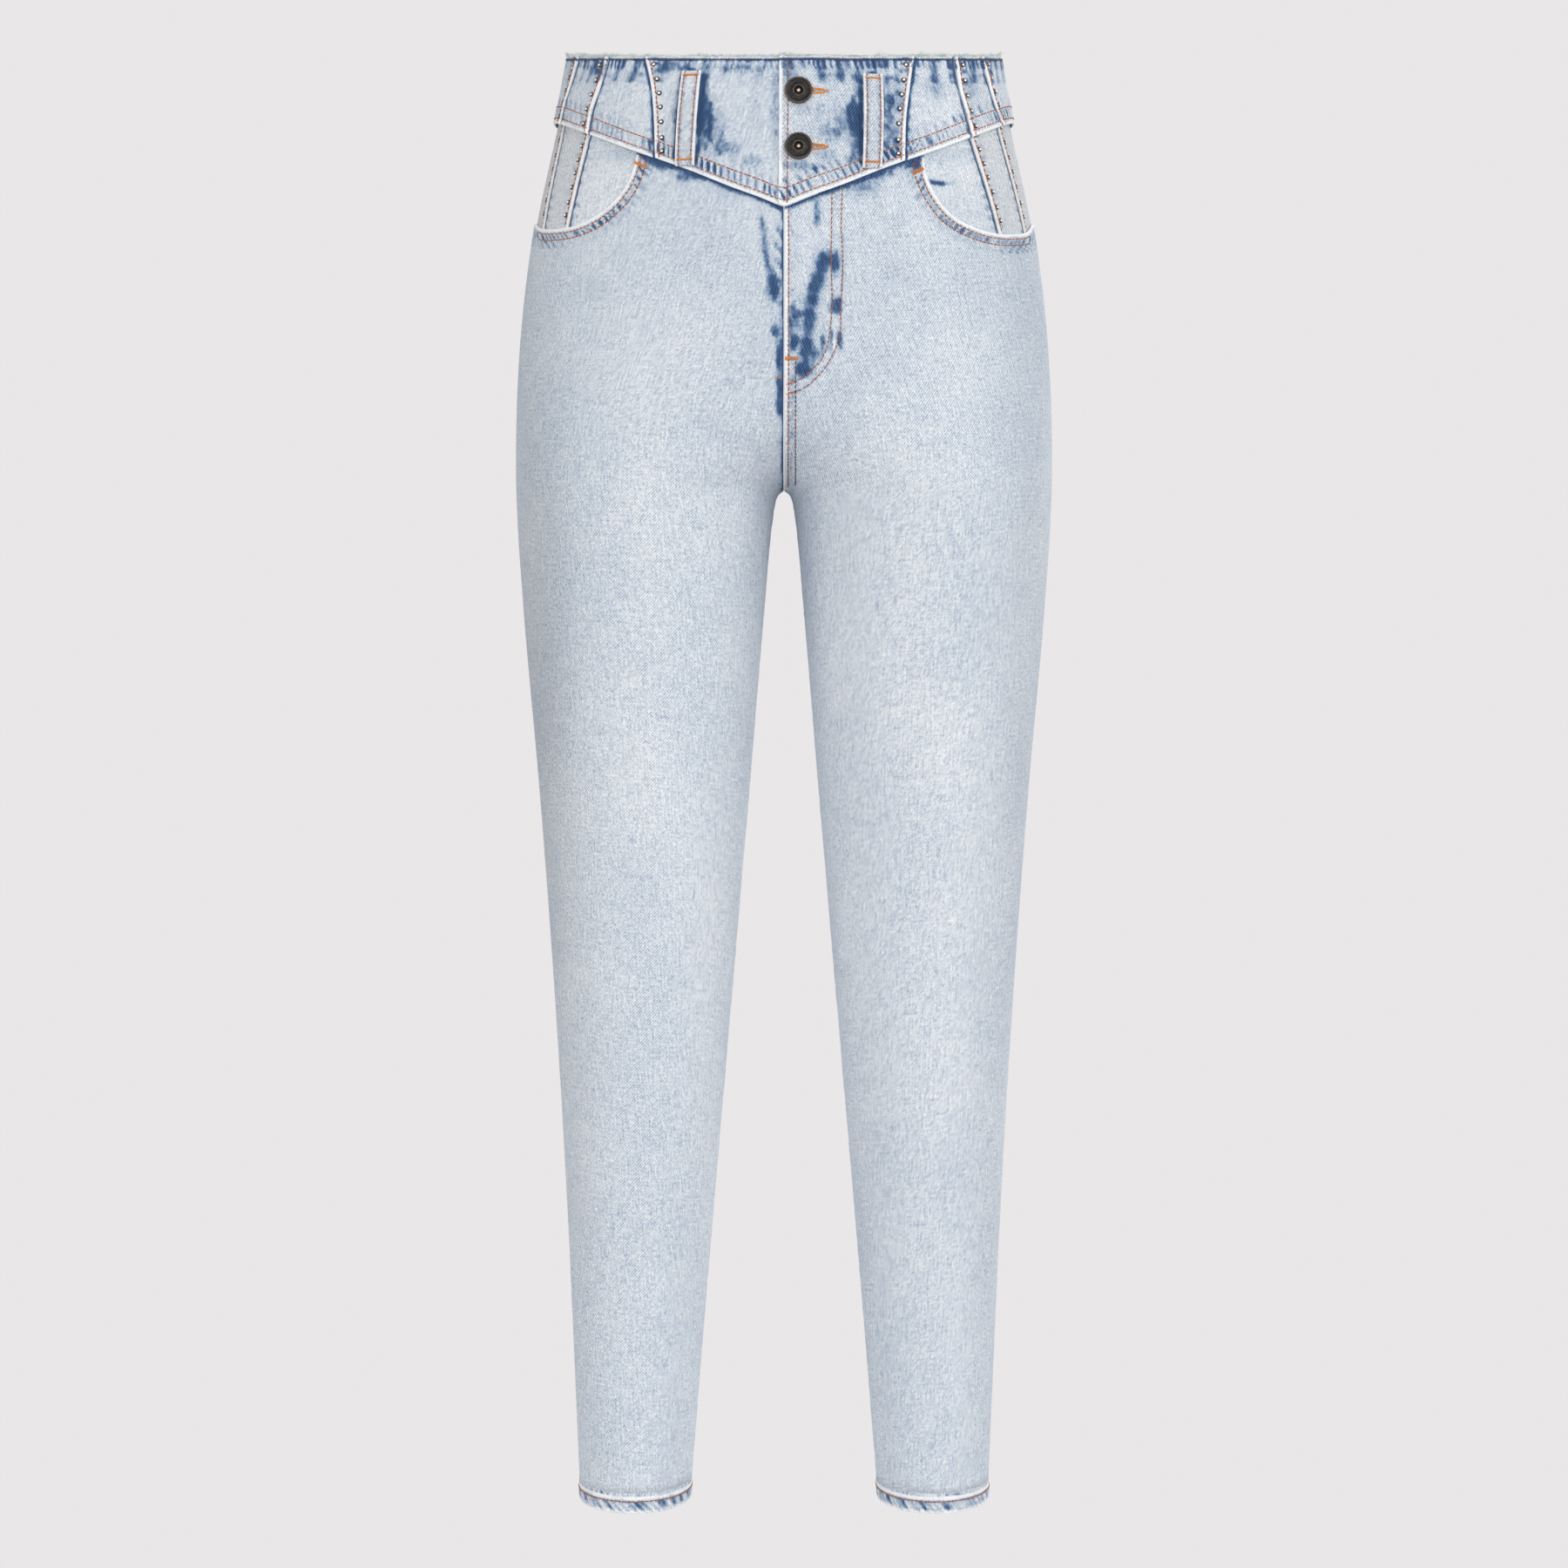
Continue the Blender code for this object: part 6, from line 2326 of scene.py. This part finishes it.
    def _mouth_tack(self, side: Side) -> None:
        """The bar tack at the upper end of a pocket mouth, across its two rows of stitching."""
        across, drop = ((82.0, 88.5), (74.2, 71.0)) if side is Side.LEFT else ((-95.0, -87.5), (67.0, 70.0))
        path = front_path(np.linspace(*across, 6), np.linspace(*drop, 6), leg_lift, LEG_MARKS, 0.6)
        self.sewing.bar_tack(Thread.ORANGE, path, 2.0)

    def _sew_fly(self) -> None:
        """The curved double row that holds the fly facing, the rows beside its edge, and its bar tacks."""
        marks_on = self.front[Side.LEFT].marks_on
        outer = ((37.2, 82.9), (36.5, 109), (37.4, 125), (36.1, 166.5), (36.1, 173), (33.4, 184),
                 (28.1, 195), (21, 203.7), (11.3, 211.5), (3.0, 214.0))
        inner = ((30.6, 85.6), (30.1, 126.5), (30.1, 166.5), (29, 176), (27.2, 184.8), (23.7, 192.6),
                 (15.7, 200.9), (9.5, 205.4), (3.0, 207.8))
        for points in (outer, inner):
            line = curve(points, 60)
            self.sewing.run(Thread.RUST, front_path(line[:, 0], line[:, 1], leg_lift, marks_on))
        for thread, across, start in ((Thread.RUST, 3.0, 97.0), (Thread.NAVY, 7.4, 193.0)):
            drop = np.linspace(start, 272.5, 90)
            self.sewing.run(thread, front_path(np.full(90, across), drop, leg_lift, marks_on))
        bar = front_path(np.linspace(0.8, 8.8, 6), np.full(6, 191.8), leg_lift, marks_on, 0.4)
        self.sewing.bar_tack(Thread.ORANGE, bar, 2.3)
        for across, drop in (((1.2, 6.8), (208.6, 207.2)), ((1.2, 7.6), (214.4, 213.4))):
            path = front_path(np.linspace(*across, 5), np.linspace(*drop, 5), leg_lift, marks_on, 0.1)
            self.sewing.run(Thread.ORANGE, path, 2.6, 0.45)
        small = front_path(np.linspace(-5.2, -2.2, 4), np.full(4, 204.3), leg_lift, LEG_MARKS, 0.3)
        self.sewing.bar_tack(Thread.ORANGE, small, 1.2)

    def sew_loops(self) -> None:
        """Sews two rows along each belt loop, and a bar tack at each end."""
        for name, shell in self.shells.items():
            if not name.startswith("belt_loop"):
                continue
            for edge in (Edge.FRONT, Edge.BACK):
                self.sewing.run(Thread.RUST, shell.path(edge, LOOP_ROW, 0.02, 0.98), 2.6)
            for edge in (Edge.TOP, Edge.BOTTOM):
                line = shell.path(edge, LOOP_TACK_ROW)
                middle = line.part(line.length * 0.16, line.length * 0.84)
                middle.points = middle.points + middle.normals * 0.2
                self.sewing.bar_tack(Thread.ORANGE, middle, 1.5)

    def build_trim(self) -> None:
        fastening = Fastening()
        for number, drop in enumerate(BUTTON_DROPS, 1):
            button = fastening.button(f"button_{number}", drop, self.metal)
            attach(button, "root")
            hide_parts(f"button_{number}")
        self.sew_yoke()
        self.sew_legs()
        self.sew_loops()
        fastening.sew(self.sewing)
        studs = Studs().build(self.studs, self.stud_metal)
        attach(studs, "root")
        order = [self.shells[f"yoke_{part}_left"] for part in ("centre", "front", "side", "back")]
        order += [self.shells[f"yoke_{part}_right"] for part in ("back", "side", "front", "centre")]
        fringe = FrayedEdge().build(order, self.fringe)
        for piece in [fringe, *self.sewing.build(self.threads)]:
            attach(piece, "root")
            log.info("%s: %d faces", piece.name, len(piece.data.polygons))


@dataclass
class Studio:
    """A pale backdrop and floor, soft lights, and the camera of the elevation."""

    pale: tuple = (233, 231, 232)
    aim: tuple = (0.0, 0.0, -0.45)
    # name, place and size in metres, and power in watts
    lights: tuple = (
        ("front_right", (1.3, -2.4, 0.7), 2.2, 42),
        ("front_left", (-1.7, -2.2, 0.3), 2.2, 22),
        ("front", (0.0, -2.9, -0.4), 1.6, 15),
        ("low_front", (0.0, -2.4, -1.6), 2.0, 10),
        ("right", (2.6, -0.5, -0.2), 2.0, 25),
        ("left", (-2.6, -0.5, -0.2), 2.0, 21),
        ("behind", (0.6, 2.0, 0.8), 2.4, 41),
        ("above", (0.0, 0.0, 1.9), 2.2, 22),
    )

    def backdrop(self) -> None:
        """A pale wall behind and a pale floor below, which the lights don't have to reach."""
        s = Shader("pale_backdrop")
        tone = s.noise(s.object_place(), (1, 1, 1), 0.0)
        s.surface(Base_Color=(0, 0, 0, 1), Roughness=1.0, Specular_IOR_Level=0.0,
                  Emission_Color=s.mixed(tone.between(-2, 2) * 0.01, srgb(*self.pale), srgb(228, 227, 228)),
                  Emission_Strength=1.0)
        radius, depth, sides = 1100, -1200.0, 64
        a = np.linspace(0, 2 * math.pi, sides + 1)[:-1]
        disc = np.stack([radius * np.cos(a), radius * np.sin(a), np.full(sides, depth)], axis=-1)
        floor = made_piece("floor", disc, [np.arange(sides)[None, :]], s.material)
        wide, low, high, far = 5700, -4600, 3700, 4200
        wall = np.array([[-wide, far, low], [wide, far, low], [wide, far, high], [-wide, far, high]], float)
        back = made_piece("backdrop", wall, [np.array([[0, 1, 2, 3]])], s.material)
        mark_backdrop(floor, back)

    def light(self, name: str, place: tuple, size: float, power: float) -> None:
        """A square soft light that points at the middle of the garment.

        Args:
            name: Its name.
            place: Where it stands, in metres.
            size: The length of its side.
            power: Its power in watts.
        """
        data = bpy.data.lights.new(name, "AREA")
        data.shape, data.size, data.energy = "SQUARE", size, power
        lamp = bpy.data.objects.new(name, data)
        lamp.location = place
        lamp.rotation_euler = (Vector(self.aim) - Vector(place)).to_track_quat("-Z", "Y").to_euler()
        bpy.context.scene.collection.objects.link(lamp)

    def build(self) -> None:
        """Sets up the backdrop, the lights, the surrounding light and the camera."""
        self.backdrop()
        scene = bpy.context.scene
        scene.view_settings.view_transform = "Standard"
        world = bpy.data.worlds.new("studio")
        world.use_nodes = True
        world.node_tree.nodes["Background"].inputs["Color"].default_value = srgb(*self.pale)
        world.node_tree.nodes["Background"].inputs["Strength"].default_value = 1.0
        scene.world = world
        world.cycles_visibility.diffuse = False
        for light in self.lights:
            self.light(*light)
        camera = bpy.data.cameras.new("elevation")
        camera.sensor_width = SENSOR
        camera.lens = SENSOR * VIEW_DISTANCE / VIEW_WIDTH
        eye = bpy.data.objects.new("elevation", camera)
        eye.location = (0.0, -VIEW_DISTANCE * MM, -0.463)
        eye.rotation_euler = (math.pi / 2, 0.0, 0.0)
        scene.collection.objects.link(eye)
        scene.camera = eye


def main(cad_box: list) -> None:
    """Builds the garment and the studio.

    Args:
        cad_box: The CAD model's lowest and highest corners; not used.
    """
    logging.basicConfig(level=logging.INFO, format="%(message)s")
    jeans = Jeans()
    jeans.build_cloth()
    jeans.build_trim()
    Studio().build()


if __name__ == "__main__":
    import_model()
    main([list(corner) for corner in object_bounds()])
